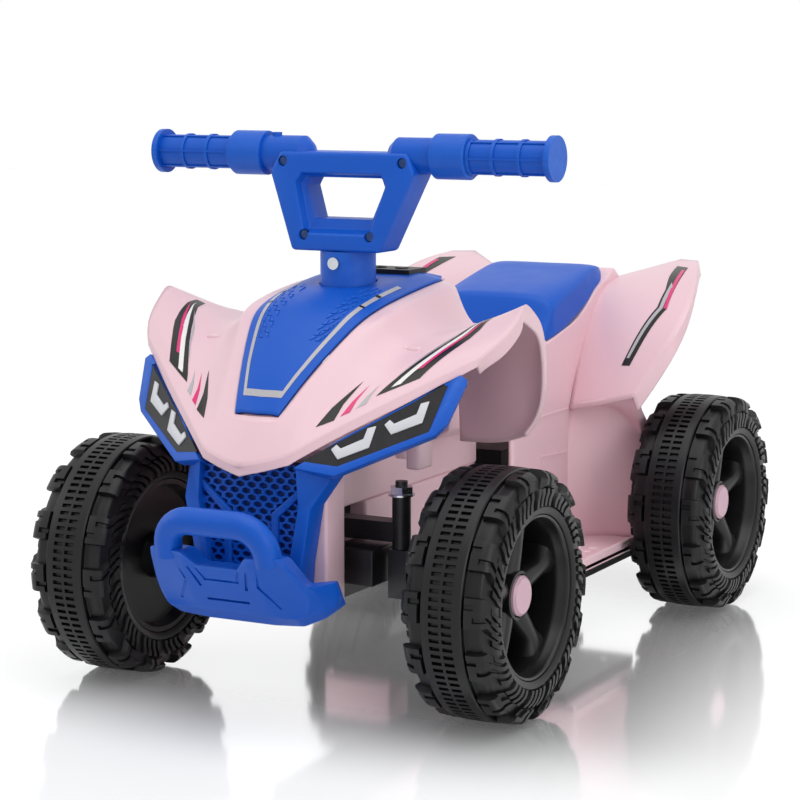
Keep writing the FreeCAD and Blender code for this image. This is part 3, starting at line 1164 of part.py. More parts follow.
def gear(label, teeth_name, offset, first_tooth, bore):
    teeth = int(measure(teeth_name))
    width = measure("gear_width")
    seat_point = Vector(-measure("gear_inner") - width, -measure(offset), 0)
    corners = [corner + seat_point for corner in gear_outline(teeth, first_tooth)]
    solid = Part.Face(Part.makePolygon(corners + corners[:1])).extrude(Vector(width, 0, 0))
    if bore:
        solid = solid.cut(Part.makeCylinder(measure(bore), width, seat_point, Vector(1, 0, 0)))
    return solid


def drive():
    tilt = Rotation(Vector(1, 0, 0), -measure("drive_angle"))
    seat_point = point("0", "rear_axle_y", "wheel_radius")
    frame = Placement(seat_point, tilt)
    half_pitch = math.pi / measure("idler_teeth")
    x_axis = Vector(1, 0, 0)

    def spindle(radius, inner, outer, offset):
        start = Vector(-measure(outer), -measure(offset), 0)
        return Part.makeCylinder(measure(radius), measure(f"({outer}) - ({inner})"), start, x_axis)

    def seated(label, shape):
        piece = keep(label, feature(label, shape))
        piece.Placement = frame

    output = gear("output_gear", "output_teeth", "0", math.pi, "axle_radius + run_gap")
    sleeve = spindle("boss_radius", "gear_inner + gear_width", "hub_inner_x + gap", "0")
    key = hexagon_solid("socket_flats", "hub_inner_x - gap", "hub_inner_x + socket_depth - gap")
    bore = spindle("axle_radius + run_gap", "gear_inner", "hub_inner_x + socket_depth", "0")
    seated("output_gear", output.fuse([sleeve, key]).cut(bore))
    idler = gear("idler_gear", "idler_teeth", "idler_offset", half_pitch, "idler_pin_radius + run_gap")
    seated("idler_gear", idler)
    pin_ends = ("case_inner + wall + gap", "case_outer - wall - gap")
    seated("idler_pin", spindle("idler_pin_radius", *pin_ends, "idler_offset"))
    pinion = gear("motor_pinion", "pinion_teeth", "pinion_offset", 0, None)
    shaft = spindle("motor_shaft_radius", "case_inner - motor_length / 2", "gear_inner", "pinion_offset")
    seated("motor_pinion", pinion.fuse(shaft))
    can = spindle("motor_radius", "case_inner - gap - motor_length", "case_inner - gap", "pinion_offset")
    room_ends = ("case_inner - motor_length / 2 - wall", "case_inner")
    shaft_room = spindle("motor_shaft_radius + run_gap", *room_ends, "pinion_offset")
    seated("drive_motor", can.cut(shaft_room))
    gearbox(seated, spindle)


def hexagon_solid(flats, inner, outer):
    radius = measure(f"{flats} / sqrt(3)")
    start = -measure(outer)
    first = math.pi / 2 + math.radians(measure("drive_angle"))
    turns = [first + math.pi * step / 3 for step in range(6)]
    corners = [Vector(start, radius * math.cos(turn), radius * math.sin(turn)) for turn in turns]
    face = Part.Face(Part.makePolygon(corners + corners[:1]))
    return face.extrude(Vector(measure(f"({outer}) - ({inner})"), 0, 0))


def gearbox(seated, spindle):
    module = measure("gear_module")
    grow = measure("case_clearance")
    wall = measure("wall")
    stops = [(0, measure("output_teeth")), (measure("idler_offset"), measure("idler_teeth")),
             (measure("pinion_offset"), measure("pinion_teeth"))]

    def round_block(margin, inner, outer):
        solids = []
        length = measure(f"({outer}) - ({inner})")
        for offset, teeth in stops:
            radius = module * (teeth / 2 + 1) + margin
            start = Vector(-measure(outer), -offset, 0)
            solids.append(Part.makeCylinder(radius, length, start, Vector(1, 0, 0)))
        return solids[0].fuse(solids[1:])

    pin_room = ("case_inner + wall", "case_outer - wall")
    halves = (("gearbox_inner", "case_inner", "case_split"), ("gearbox_outer", "case_split", "case_outer"))
    for label, inner, outer in halves:
        cuts = [spindle("idler_pin_radius + run_gap", *pin_room, "idler_offset")]
        if label == "gearbox_inner":
            room = (f"{inner} + wall", outer)
            boss = (f"{inner} + wall - overrun / 4", "gear_inner - gap")
            cuts.append(spindle("axle_radius + run_gap", inner, outer, "0"))
            cuts.append(spindle("motor_shaft_radius + gap", inner, outer, "pinion_offset"))
        else:
            room = (inner, f"{outer} - wall")
            boss = ("gear_inner + gear_width + gap", f"{outer} - wall + overrun / 4")
            cuts.append(spindle("boss_radius + gap", inner, outer, "0"))
        case = round_block(grow + wall, inner, outer).cut(round_block(grow, *room))
        case = case.fuse(spindle("idler_pin_radius + wall", *boss, "idler_offset"))
        seated(label, case.cut(cuts).removeSplitter())


# Battery with its lead to the motor
def battery():
    low = "tray_top + gap"
    front = "body_front + battery_setback"
    keep("battery", block("battery", ("battery_width", "battery_length", "battery_height"),
                          ("-battery_width / 2", front, low)))
    top = f"{low} + battery_height + gap"
    turn = measure("drive_angle")
    motor_y = measure(f"rear_axle_y - pinion_offset * cos({turn} deg)")
    motor_z = measure(f"wheel_radius + pinion_offset * sin({turn} deg) + motor_radius + gap")
    start = point("-lead_x", f"{front} + battery_length - lead_inset", top)
    x = start.x
    high = start.z + measure("lead_rise")
    end = Vector(x, motor_y, motor_z)
    route = [start, Vector(x, start.y, high), Vector(x, motor_y, high), end]
    lead = tube(route, [measure("lead_bend")] * 2, measure("lead_radius"))
    keep("motor_lead", feature("motor_lead", lead))


# Foot pedal on the right footrest, hinged at the heel
def pedal():
    base_z = "floor_top + gap"
    half = "pedal_half + pedal_base_margin"
    pivot = ("pedal_heel_y", "pedal_pivot_z")
    lengths = (f"2 * ({half})", "pedal_length + 2 * pedal_base_margin", "pedal_base_thickness")
    corner = (f"-pedal_x - ({half})", "pedal_heel_y - pedal_length - pedal_base_margin", base_z)
    solids = [block("base plate", lengths, corner)]
    ear_height = "pedal_base_thickness + pedal_pivot_rise + pedal_barrel"
    for start in ("-pedal_x - pedal_half - gap - pedal_ear", "-pedal_x + pedal_half + gap"):
        solids.append(block("ear", ("pedal_ear", "2 * pedal_barrel", ear_height),
                            (start, "pedal_heel_y - pedal_barrel", base_z)))
    pin = rod("pin", "pedal_pin_radius", "2 * (pedal_half + pedal_ear)",
              ("-pedal_x - pedal_half - pedal_ear", *pivot), "X")
    keep("pedal_base", joined("pedal_base", solids + [pin]))
    tread = [("-pedal_length", "-pedal_thickness / 2"), ("0", "-pedal_thickness / 2"),
             ("0", "pedal_thickness / 2"), ("-pedal_length", "pedal_thickness / 2")]
    tilt = Rotation(Vector(1, 0, 0), -measure("pedal_tilt"))
    plate = place(padded("tread", "YZ_Plane", [tread], "2 * pedal_half", True), "-pedal_x", *pivot, tilt)
    barrel = rod("barrel", "pedal_barrel", "2 * pedal_half", ("-pedal_x - pedal_half", *pivot), "X")
    spot = ("-pedal_x - pedal_half", *pivot)
    bore = rod("pin hole", "pedal_pin_radius + run_gap", "2 * pedal_half", spot, "X")
    keep("foot_pedal", carved("foot_pedal", joined("pedal", [plate, barrel]), [bore]))


for build in (wheels, front_axle, knuckles, tie_rod, steering, handlebar, grips, hood, dash, headlights,
              grille, bumper, main_body, seat, under_tray, rear_axle, drive, battery, pedal):
    build()
doc.recompute()

for obj in doc.Objects:
    if "Invalid" in obj.State or "Error" in obj.State:
        raise RuntimeError(f"{obj.Label} failed to rebuild: {obj.State}")
for label, piece in kept.items():
    if piece.Shape.isNull() or not piece.Shape.isValid():
        raise RuntimeError(f"{label} has no valid shape")

os.makedirs("parts", exist_ok=True)
for label, piece in kept.items():
    piece.Shape.exportStep(f"parts/{label}.step")
print(len(kept), "sub-parts written")
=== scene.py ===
import bmesh
import bpy
import json
import math
from mathutils import Color, Matrix, Vector
from mathutils.bvhtree import BVHTree


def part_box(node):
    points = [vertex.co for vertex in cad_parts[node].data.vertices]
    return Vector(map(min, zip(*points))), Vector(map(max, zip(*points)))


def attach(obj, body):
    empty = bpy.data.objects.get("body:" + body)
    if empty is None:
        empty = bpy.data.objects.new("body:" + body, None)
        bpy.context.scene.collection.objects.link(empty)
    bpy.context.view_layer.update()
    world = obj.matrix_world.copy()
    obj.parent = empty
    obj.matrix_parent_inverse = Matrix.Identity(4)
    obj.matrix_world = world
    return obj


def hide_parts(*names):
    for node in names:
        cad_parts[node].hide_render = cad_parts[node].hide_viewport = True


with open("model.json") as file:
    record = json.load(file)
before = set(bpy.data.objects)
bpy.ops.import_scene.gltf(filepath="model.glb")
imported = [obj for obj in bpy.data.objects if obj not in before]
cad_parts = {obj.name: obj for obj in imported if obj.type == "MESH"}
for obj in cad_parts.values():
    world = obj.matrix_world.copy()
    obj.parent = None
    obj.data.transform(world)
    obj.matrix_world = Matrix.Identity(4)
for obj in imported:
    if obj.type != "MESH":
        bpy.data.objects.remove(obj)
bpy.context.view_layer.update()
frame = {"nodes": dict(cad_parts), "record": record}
nodes = frame["nodes"]
scene = bpy.context.scene
scene.view_settings.view_transform = "Standard"
mm = 0.001
weld = 0.01 * mm  # points closer than this become one
pink = ("pinkPlastic", "pink_body")  # a look and its slot
blue = ("bluePlastic", "blue_plastic")
sides = (("left", 1), ("right", -1))


def millimetres(*numbers):
    return Vector(numbers) * mm


def flipped(point):
    return Vector((-point[0], point[1], point[2]))


# Camera at the photograph's angle
photoCamera = {
    "place": (950.5, -1843.9, 514.8), "yaw": 27.707, "pitch": 8.203, "lens": 107.23, "sensor": 36,
    "farthest": 20,
}


def addCamera():
    data = bpy.data.cameras.new("photoCamera")
    data.lens = photoCamera["lens"]
    data.sensor_width = photoCamera["sensor"]
    data.clip_end = photoCamera["farthest"]
    camera = bpy.data.objects.new("photoCamera", data)
    camera.location = millimetres(*photoCamera["place"])
    tilt = math.radians(90 - photoCamera["pitch"])
    camera.rotation_euler = (tilt, 0, math.radians(photoCamera["yaw"]))
    scene.collection.objects.link(camera)
    scene.camera = camera
    print("camera set")


# Shader nodes
def feed(tree, socket, value):
    if isinstance(value, (int, float)):
        socket.default_value = value
    else:
        tree.links.new(value, socket)


def objectCoordinates(tree):
    return tree.nodes.new("ShaderNodeTexCoord").outputs["Object"]


def noiseNode(tree, scale, detail):
    noise = tree.nodes.new("ShaderNodeTexNoise")
    noise.inputs["Detail"].default_value = detail
    tree.links.new(objectCoordinates(tree), noise.inputs["Vector"])
    feed(tree, noise.inputs["Scale"], scale)
    return noise.outputs["Fac"]


def mathNode(tree, operation, first, second=0):
    node = tree.nodes.new("ShaderNodeMath")
    node.operation = operation
    feed(tree, node.inputs[0], first)
    feed(tree, node.inputs[1], second)
    return node.outputs[0]


def mixNode(tree, share, first, second):
    node = tree.nodes.new("ShaderNodeMix")
    node.data_type = "RGBA"
    for number, value in ((0, share), (6, first), (7, second)):  # a colour mix's own sockets
        tree.links.new(value, node.inputs[number])
    return node.outputs[2]


def rangeNode(tree, value, start, end, atStart=0, atEnd=1, kind="LINEAR"):
    node = tree.nodes.new("ShaderNodeMapRange")
    node.interpolation_type = kind
    tree.links.new(value, node.inputs["Value"])
    for label, number in (("From Min", start), ("From Max", end), ("To Min", atStart), ("To Max", atEnd)):
        node.inputs[label].default_value = number
    return node.outputs[0]


# A node group: a socket whose value is a tuple is a colour, any other is a number
def newGroup(name, inputs, outputs):
    tree = bpy.data.node_groups.new(name, "ShaderNodeTree")
    for way, sockets in (("INPUT", inputs), ("OUTPUT", outputs)):
        for label, value in sockets.items():
            kind = "NodeSocketColor" if isinstance(value, tuple) else "NodeSocketFloat"
            socket = tree.interface.new_socket(name=label, in_out=way, socket_type=kind)
            socket.default_value = value
    return tree, tree.nodes.new("NodeGroupInput"), tree.nodes.new("NodeGroupOutput")


# Studio, in metres: white background, three soft boxes, pale floor that mirrors only what stands close and
# glows less there, a painted shade round the vehicle
studio = {
    "worldLight": 0.52,
    "boxes": {
        "topBox": {"place": (0.3, -0.4, 2.4), "aim": (0, 0, 0.2), "size": 2.6, "watts": 31},
        "rightBox": {"place": (2.7, -1.1, 1.2), "aim": (0, 0.1, 0.2), "size": 1.6, "watts": 20},
        "leftBox": {"place": (-2.4, -1.0, 1.5), "aim": (0, 0, 0.2), "size": 1.6, "watts": 12},
    },
    # the second glow is what the floor loses over the wheels' footprint, a painted shade round the vehicle
    "floorSize": 14, "floorGlow": 0.07, "glowBeyondPaintedShade": 0.12, "floorColour": (0.93, 0.935, 0.94, 1),
    "floorRough": 0.09, "floorMetal": 0.75, "footprint": (0.17, 0.18), "mirrorAndPaintedShadeFade": 0.24,
}


# One where the camera or a mirror image looks, and zero for light that falls on things
def seenShare(tree):
    path = tree.nodes.new("ShaderNodeLightPath")
    seen = path.outputs["Is Camera Ray"]
    for extra in ("Is Glossy Ray", "Is Transmission Ray"):
        seen = mathNode(tree, "MAXIMUM", seen, path.outputs[extra])
    return seen


# One over the wheels' footprint, falling to zero round it: where the floor mirrors and where its painted
# shade lies
def mirrorAndPaintedShadeShare(tree):
    parts = tree.nodes.new("ShaderNodeSeparateXYZ")
    tree.links.new(objectCoordinates(tree), parts.inputs[0])
    outside = 0
    for axis, half in enumerate(studio["footprint"]):
        away = mathNode(tree, "ABSOLUTE", parts.outputs[axis])
        away = mathNode(tree, "MAXIMUM", mathNode(tree, "SUBTRACT", away, half))
        outside = mathNode(tree, "ADD", mathNode(tree, "MULTIPLY", away, away), outside)
    return rangeNode(tree, mathNode(tree, "SQRT", outside), 0, studio["mirrorAndPaintedShadeFade"], 1, 0, "SMOOTHSTEP")


def floorPaint():
    material = bpy.data.materials.new("paleFloor")
    material.use_nodes = True
    tree = material.node_tree
    shader = tree.nodes["Principled BSDF"]
    shader.inputs["Base Color"].default_value = studio["floorColour"]
    shader.inputs["Roughness"].default_value = studio["floorRough"]
    shader.inputs["Emission Color"].default_value = (1, 1, 1, 1)
    mirrorAndShade = mirrorAndPaintedShadeShare(tree)
    tree.links.new(mathNode(tree, "MULTIPLY", mirrorAndShade, studio["floorMetal"]), shader.inputs["Metallic"])
    # the floor glows less over the footprint: painted shade round the vehicle
    glow = mathNode(tree, "SUBTRACT", studio["floorGlow"] + studio["glowBeyondPaintedShade"],
                    mathNode(tree, "MULTIPLY", mirrorAndShade, studio["glowBeyondPaintedShade"]))
    tree.links.new(mathNode(tree, "MULTIPLY", seenShare(tree), glow), shader.inputs["Emission Strength"])
    return material


def addStudio():
    world = bpy.data.worlds.new("whiteSweep")
    scene.world = world
    world.use_nodes = True
    tree = world.node_tree
    background = tree.nodes["Background"]
    background.inputs["Color"].default_value = (1, 1, 1, 1)
    lift = mathNode(tree, "MULTIPLY", seenShare(tree), 1 - studio["worldLight"])
    tree.links.new(mathNode(tree, "ADD", lift, studio["worldLight"]), background.inputs["Strength"])
    for name, box in studio["boxes"].items():
        data = bpy.data.lights.new(name, "AREA")
        data.size = box["size"]
        data.energy = box["watts"]
        lamp = bpy.data.objects.new(name, data)
        lamp.location = box["place"]
        aim = Vector(box["aim"]) - lamp.location
        lamp.rotation_euler = aim.to_track_quat("-Z", "Y").to_euler()
        scene.collection.objects.link(lamp)
    bm = bmesh.new()
    bmesh.ops.create_grid(bm, x_segments=1, y_segments=1, size=studio["floorSize"] / 2)
    mesh = bpy.data.meshes.new("studioFloor")
    bm.to_mesh(mesh)
    bm.free()
    floor = bpy.data.objects.new("studioFloor", mesh)
    scene.collection.objects.link(floor)
    mesh.materials.append(floorPaint())
    print("studio set")


# What the finishes share: slow drift of tone, fine grain, uneven gloss and lighter edges, partly wear and
# partly painted highlight
skin = {
    "plain": (0.5, 0.5, 0.5, 1), "rough": 0.4, "drift": 0.5, "driftScale": 9, "driftDetail": 3,
    "grainScale": 900, "grainDetail": 2, "grainDepth": 0.4,
    "unevenness": 0.12, "scuffScale": 55, "scuffDetail": 4, "scuffMiddle": 0.5,
    "wearAndHighlightAmount": 0.45, "wearAndHighlightScale": 120, "wearAndHighlightDetail": 3, "wearAndHighlightFrom": 0.52, "wearAndHighlightTo": 0.6,
}


def mouldedSkin():
    plain = skin["plain"]
    tree, given, out = newGroup(
        "mouldedSkin",
        {"Colour": plain, "Deep Colour": plain, "Drift": skin["drift"], "Grain Scale": skin["grainScale"],
         "Roughness": skin["rough"], "Unevenness": skin["unevenness"]},
        {"Colour": plain, "Roughness": skin["rough"], "Height": 0})
    slow = noiseNode(tree, skin["driftScale"], skin["driftDetail"])
    fine = noiseNode(tree, given.outputs["Grain Scale"], skin["grainDetail"])
    scuff = noiseNode(tree, skin["scuffScale"], skin["scuffDetail"])
    share = mathNode(tree, "MULTIPLY", slow, given.outputs["Drift"])
    colour = mixNode(tree, share, given.outputs["Colour"], given.outputs["Deep Colour"])
    tree.links.new(colour, out.inputs["Colour"])
    swing = mathNode(tree, "SUBTRACT", scuff, skin["scuffMiddle"])
    swing = mathNode(tree, "MULTIPLY", swing, given.outputs["Unevenness"])
    tree.links.new(mathNode(tree, "ADD", given.outputs["Roughness"], swing), out.inputs["Roughness"])
    tree.links.new(fine, out.inputs["Height"])
    return tree


# Convex edges painted lighter: partly wear, partly painted highlight where edges catch the light
def edgeWearAndHighlight():
    plain = skin["plain"]
    tree, given, out = newGroup(
        "edgeWearAndHighlight", {"Colour": plain, "Wear And Highlight Colour": plain, "Amount": skin["wearAndHighlightAmount"]}, {"Colour": plain})
    point = tree.nodes.new("ShaderNodeNewGeometry").outputs["Pointiness"]
    edge = rangeNode(tree, point, skin["wearAndHighlightFrom"], skin["wearAndHighlightTo"])
    broken = noiseNode(tree, skin["wearAndHighlightScale"], skin["wearAndHighlightDetail"])
    mask = mathNode(tree, "MULTIPLY", mathNode(tree, "MULTIPLY", edge, broken), given.outputs["Amount"])
    wearAndHighlightColour = mixNode(tree, mask, given.outputs["Colour"], given.outputs["Wear And Highlight Colour"])
    tree.links.new(wearAndHighlightColour, out.inputs["Colour"])
    return tree


# Each finish: colour, deeper colour, edge colour for wear and painted highlight, roughness, grain, gloss and
# metal
finishes = {
    "pinkPlastic": ("E9C6CF", "E1B9C4", "F2DAE0", 0.36, 0.03, 0.5, 0),
    "pinkCap": ("D3ACBB", "CAA1B1", "EACDD7", 0.36, 0.03, 0.5, 0),
    "bluePlastic": ("0455C0", "034CB4", "3C7ADC", 0.42, 0.09, 0.28, 0),
    # darker blue for the grille's screen: painted shade in the recess
    "blueRecess": ("06235E", "051D50", "24489A", 0.5, 0.09, 0.28, 0),
    "darkGrey": ("19191B", "141416", "3A3A3E", 0.45, 0.1, 0.25, 0),
    "blackPlastic": ("121214", "0D0D0F", "38383C", 0.4, 0.08, 0.35, 0),
    "blackenedSteel": ("17171A", "101012", "5A5A60", 0.35, 0.04, 0.5, 0),
    "greyPedal": ("55565A", "47484C", "7C7D82", 0.5, 0.12, 0.5, 0),
    "blackTyre": ("0D0D0F", "09090B", "2A2A2E", 0.38, 0.14, 0.3, 0),
    "blackRim": ("0B0B0D", "08080A", "2E2E32", 0.3, 0.06, 0.4, 0),
    "nylon": ("D9D6CC", "C9C5B8", "EFEDE6", 0.5, 0.05, 0.5, 0),
    "leadSheath": ("B02A25", "8E201C", "D0605A", 0.5, 0.05, 0.5, 0),
    "zincSteel": ("C4C8CE", "9DA3AC", "F0F2F5", 0.26, 0.04, 0.5, 1),
    "darkScrew": ("22345E", "1A284A", "5C74A8", 0.35, 0.04, 0.5, 1),
    "filmBlack": ("161618", "111113", "343438", 0.28, 0.02, 0.3, 0),
    "filmWhite": ("EDEBE8", "E2E0DC", "FBFBFA", 0.28, 0.02, 0.5, 0),
    "filmGrey": ("B4B2B6", "A5A3A8", "CACACE", 0.28, 0.02, 0.5, 0),
    "filmMagenta": ("DE1B74", "C81566", "EC579C", 0.28, 0.02, 0.5, 0),
    "lampGrey": ("CFD0D6", "C2C3CA", "E6E6EA", 0.3, 0.02, 0.5, 0),
}
looks = {}


def linear(code):
    parts = [part / 255 for part in bytes.fromhex(code)]
    return (*Color(parts).from_srgb_to_scene_linear(), 1)


def mixFinishes():
    skinGroup = mouldedSkin()
    wearAndHighlightGroup = edgeWearAndHighlight()
    for name, (colour, deep, wearAndHighlightColour, rough, grain, gloss, metal) in finishes.items():
        material = bpy.data.materials.new(name)
        material.use_nodes = True
        tree = material.node_tree
        shader = tree.nodes["Principled BSDF"]
        moulded = tree.nodes.new("ShaderNodeGroup")
        moulded.node_tree = skinGroup
        moulded.inputs["Colour"].default_value = linear(colour)
        moulded.inputs["Deep Colour"].default_value = linear(deep)
        moulded.inputs["Roughness"].default_value = rough
        # lighter edges: partly wear, partly painted highlight
        wearAndHighlightNode = tree.nodes.new("ShaderNodeGroup")
        wearAndHighlightNode.node_tree = wearAndHighlightGroup
        wearAndHighlightNode.inputs["Wear And Highlight Colour"].default_value = linear(wearAndHighlightColour)
        tree.links.new(moulded.outputs["Colour"], wearAndHighlightNode.inputs["Colour"])
        tree.links.new(wearAndHighlightNode.outputs["Colour"], shader.inputs["Base Color"])
        tree.links.new(moulded.outputs["Roughness"], shader.inputs["Roughness"])
        bump = tree.nodes.new("ShaderNodeBump")
        bump.inputs["Strength"].default_value = grain
        bump.inputs["Distance"].default_value = skin["grainDepth"] * mm
        tree.links.new(moulded.outputs["Height"], bump.inputs["Height"])
        tree.links.new(bump.outputs["Normal"], shader.inputs["Normal"])
        shader.inputs["Metallic"].default_value = metal
        shader.inputs["Specular IOR Level"].default_value = gloss
        looks[name] = material
    print("finishes mixed:", len(looks))


slotLooks = {
    "pink_body": "pinkPlastic", "pink_caps": "pinkCap", "blue_plastic": "bluePlastic",
    "dark_grey_plastic": "darkGrey", "black_plastic": "blackPlastic", "grey_pedal": "greyPedal",
    "black_tyre": "blackTyre", "black_rim": "blackRim", "zinc_steel": "zincSteel", "dark_screws": "darkScrew",
    "nylon": "nylon", "lead_sheath": "leadSheath",
}
# steel that is painted, whatever its slot
paintedSteel = ["knuckle_left", "knuckle_right", "tie_rod", "rear_axle", "rear_wheel_spacer", "beam_bolts"]


def dressNodes():
    for row in frame["record"]["subparts"]:
        name = row["node"]
        look = "blackenedSteel" if name in paintedSteel else slotLooks[row["material_slot"]]
        mesh = nodes[name].data
        mesh.materials.clear()
        mesh.materials.append(looks[look])
    print("nodes dressed:", len(nodes))


# Pieces
def addPiece(name, bm, look, slot, sharp=0, stands=(), body="chassis"):
    mesh = bpy.data.meshes.new(name)
    bm.to_mesh(mesh)
    bm.free()
    custom = mesh.attributes.get("custom_normal")
    if custom:  # a copied node's own normals, which no longer fit
        mesh.attributes.remove(custom)
    piece = bpy.data.objects.new(name, mesh)
    smoothed(piece, sharp)
    scene.collection.objects.link(piece)
    for each in [look] if isinstance(look, str) else look:
        mesh.materials.append(looks[each])
    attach(piece, body)
    if stands:
        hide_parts(*stands)
    return piece


def smoothed(piece, sharp):
    piece.data.shade_smooth()
    if sharp:
        piece.data.set_sharp_from_angle(angle=math.radians(sharp))


def thickened(piece, wall):
    back = piece.modifiers.new("wall", "SOLIDIFY")
    back.thickness = wall * mm
    back.offset = -1


# Takes the piece's modifiers into its mesh
def settled(piece, sharp=0):
    bpy.context.view_layer.update()
    graph = bpy.context.evaluated_depsgraph_get()
    bm = bmesh.new()
    bm.from_mesh(piece.evaluated_get(graph).data)
    piece.modifiers.clear()
    bm.to_mesh(piece.data)
    bm.free()
    smoothed(piece, sharp)


def carved(piece, cutter, sharp=30):
    mesh = bpy.data.meshes.new("cutter")
    bmesh.ops.recalc_face_normals(cutter, faces=cutter.faces)
    cutter.to_mesh(mesh)
    cutter.free()
    tool = bpy.data.objects.new("cutter", mesh)
    scene.collection.objects.link(tool)
    cut = piece.modifiers.new("cut", "BOOLEAN")
    cut.object = tool
    cut.solver = "EXACT"
    cut.use_self = True
    settled(piece, sharp)
    bpy.data.objects.remove(tool)
    bpy.data.meshes.remove(mesh)


# Operators on a mesh
def outward(bm):
    bmesh.ops.recalc_face_normals(bm, faces=bm.faces)


def addBox(bm, low, high):
    verts = bmesh.ops.create_cube(bm, size=1)["verts"]
    low, high = millimetres(*low), millimetres(*high)
    bmesh.ops.scale(bm, vec=high - low, verts=verts)
    bmesh.ops.translate(bm, vec=(low + high) / 2, verts=verts)
    return verts


def softened(bm, width, segments=3, turn=25):
    chosen = [edge for edge in bm.edges if edge.calc_face_angle(0) > math.radians(turn)]
    bmesh.ops.bevel(bm, geom=chosen, offset=width * mm, offset_type="OFFSET", segments=segments, profile=0.5,
                    affect="EDGES", clamp_overlap=True, material=-1)


def softenedBox(bm, low, high, radius):
    part = bmesh.new()
    addBox(part, low, high)
    softened(part, radius)
    mesh = bpy.data.meshes.new("part")
    part.to_mesh(mesh)
    part.free()
    bm.from_mesh(mesh)
    bpy.data.meshes.remove(mesh)


# Rounded boxes, each a low corner, a high corner and an edge radius, and their twins on the other side
def addTwinBoxes(bm, boxes):
    for low, high, radius in boxes:
        softenedBox(bm, low, high, radius)
        softenedBox(bm, (-high[0], *low[1:]), (-low[0], *high[1:]), radius)


def addPeg(bm, place, segments, radius, topRadius, depth):
    bmesh.ops.create_cone(bm, cap_ends=True, segments=segments, radius1=radius * mm, radius2=topRadius * mm,
                          depth=depth * mm, matrix=place)


def onlyVerts(made):
    return [part for part in made if isinstance(part, bmesh.types.BMVert)]


def onlyEdges(made):
    return [part for part in made if isinstance(part, bmesh.types.BMEdge)]


# A face through the corners, extruded into a slab
def addSlab(bm, corners, shift):
    face = bm.faces.new([bm.verts.new(corner) for corner in corners])
    made = bmesh.ops.extrude_face_region(bm, geom=[face])["geom"]
    bmesh.ops.translate(bm, vec=shift, verts=onlyVerts(made))
    outward(bm)


# A closed loop of edges through the points
def addLoop(bm, points):
    verts = [bm.verts.new(point) for point in points]
    edges = [bm.edges.new(pair) for pair in zip(verts, verts[1:] + verts[:1])]
    return verts, edges


# Spins geometry round the x axis by a share of a full turn
def spinRound(bm, geometry, share, steps, **how):
    bmesh.ops.spin(bm, geom=geometry, cent=(0, 0, 0), axis=(1, 0, 0), angle=2 * math.pi * share,
                   steps=steps, **how)


def spunAlongX(profile, steps):
    bm = bmesh.new()
    verts, ring = addLoop(bm, [millimetres(x, 0, r) for x, r in profile])
    spinRound(bm, verts + ring, 1, steps, use_merge=True)
    bmesh.ops.remove_doubles(bm, verts=bm.verts, dist=weld)
    outward(bm)
    return bm


def mirroredTo(bm, sign):
    if sign < 0:
        bmesh.ops.scale(bm, vec=(-1, 1, 1), verts=bm.verts)
        bmesh.ops.reverse_faces(bm, faces=bm.faces)
    return bm


# Half a turn about the upright axis, for a spun piece on the other side
def turnedTo(bm, sign):
    if sign < 0:
        bmesh.ops.rotate(bm, cent=(0, 0, 0), matrix=Matrix.Rotation(math.pi, 3, "Z"), verts=bm.verts)
    return bm


# A net of points, rows by columns, with the creases, open rows and kept corners of the piece's settings.
# A half net is mirrored: its columns count from the middle, and the first column's cells may be open.
def netMesh(rows, drawn, half=False, cornerTurn=125):
    rowCreases, columnCreases = drawn.get("rowCreases", {}), drawn.get("columnCreases", {})
    openRows, corners = drawn.get("openRows", ()), drawn.get("corners", ())
    middle = len(rows[0]) - 1 if half else 0
    if half:
        rows = [[flipped(point) for point in reversed(row[1:])] + list(row) for row in rows]
    across = len(rows[0])
    bm = bmesh.new()
    bmesh.ops.create_grid(bm, x_segments=across - 1, y_segments=len(rows) - 1, size=1)
    crease = bm.edges.layers.float.new("crease_edge")
    kept = bm.verts.layers.float.new("crease_vert")
    place = {}
    for number, vert in enumerate(bm.verts):
        row, column = divmod(number, across)
        vert.co = rows[row][column]
        place[vert] = (row, abs(column - middle))
    for edge in bm.edges:
        (rowA, columnA), (rowB, columnB) = (place[vert] for vert in edge.verts)
        edge[crease] = rowCreases.get(rowA, 0) if rowA == rowB else columnCreases.get(columnA, 0)
    gone = []
    for face in bm.faces:
        spots = [place[vert] for vert in face.verts]
        if min(column for row, column in spots) == 0 and min(row for row, column in spots) in openRows:
            gone.append(face)
    bmesh.ops.delete(bm, geom=gone, context="FACES")
    for edge in bm.edges:
        if edge.is_boundary:
            edge[crease] = 1
    for vert in bm.verts:
        border = [edge for edge in vert.link_edges if edge.is_boundary]
        if len(border) == 2:
            first, second = (edge.other_vert(vert).co - vert.co for edge in border)
            if first.length and second.length and first.angle(second) < math.radians(cornerTurn):
                vert[kept] = 1
        if place[vert] in corners:
            vert[kept] = 1
    return bm


# Moves a cage so that its rounded surface passes through the points it was drawn with
def fitCage(piece, rounds=4, share=0.8):
    goals = [vert.co.copy() for vert in piece.data.vertices]
    for _ in range(rounds):
        bpy.context.view_layer.update()
        graph = bpy.context.evaluated_depsgraph_get()
        rounded = piece.evaluated_get(graph).data
        shifts = [goal - rounded.vertices[number].co for number, goal in enumerate(goals)]
        for vert, shift in zip(piece.data.vertices, shifts):
            vert.co += shift * share


# A net rounded by subdivision
def addSkin(name, bm, look, slot, stands=(), levels=3):
    piece = addPiece(name, bm, look, slot, stands=stands)
    rounder = piece.modifiers.new("rounder", "SUBSURF")
    rounder.levels = levels
    rounder.render_levels = levels
    fitCage(piece)
    return piece


# A half net of stations, rounded and given its wall
def addShell(name, drawn, look, slot, stands=()):
    piece = addSkin(name, netMesh(stationRows(drawn), drawn, True), look, slot, stands)
    thickened(piece, drawn["wall"])


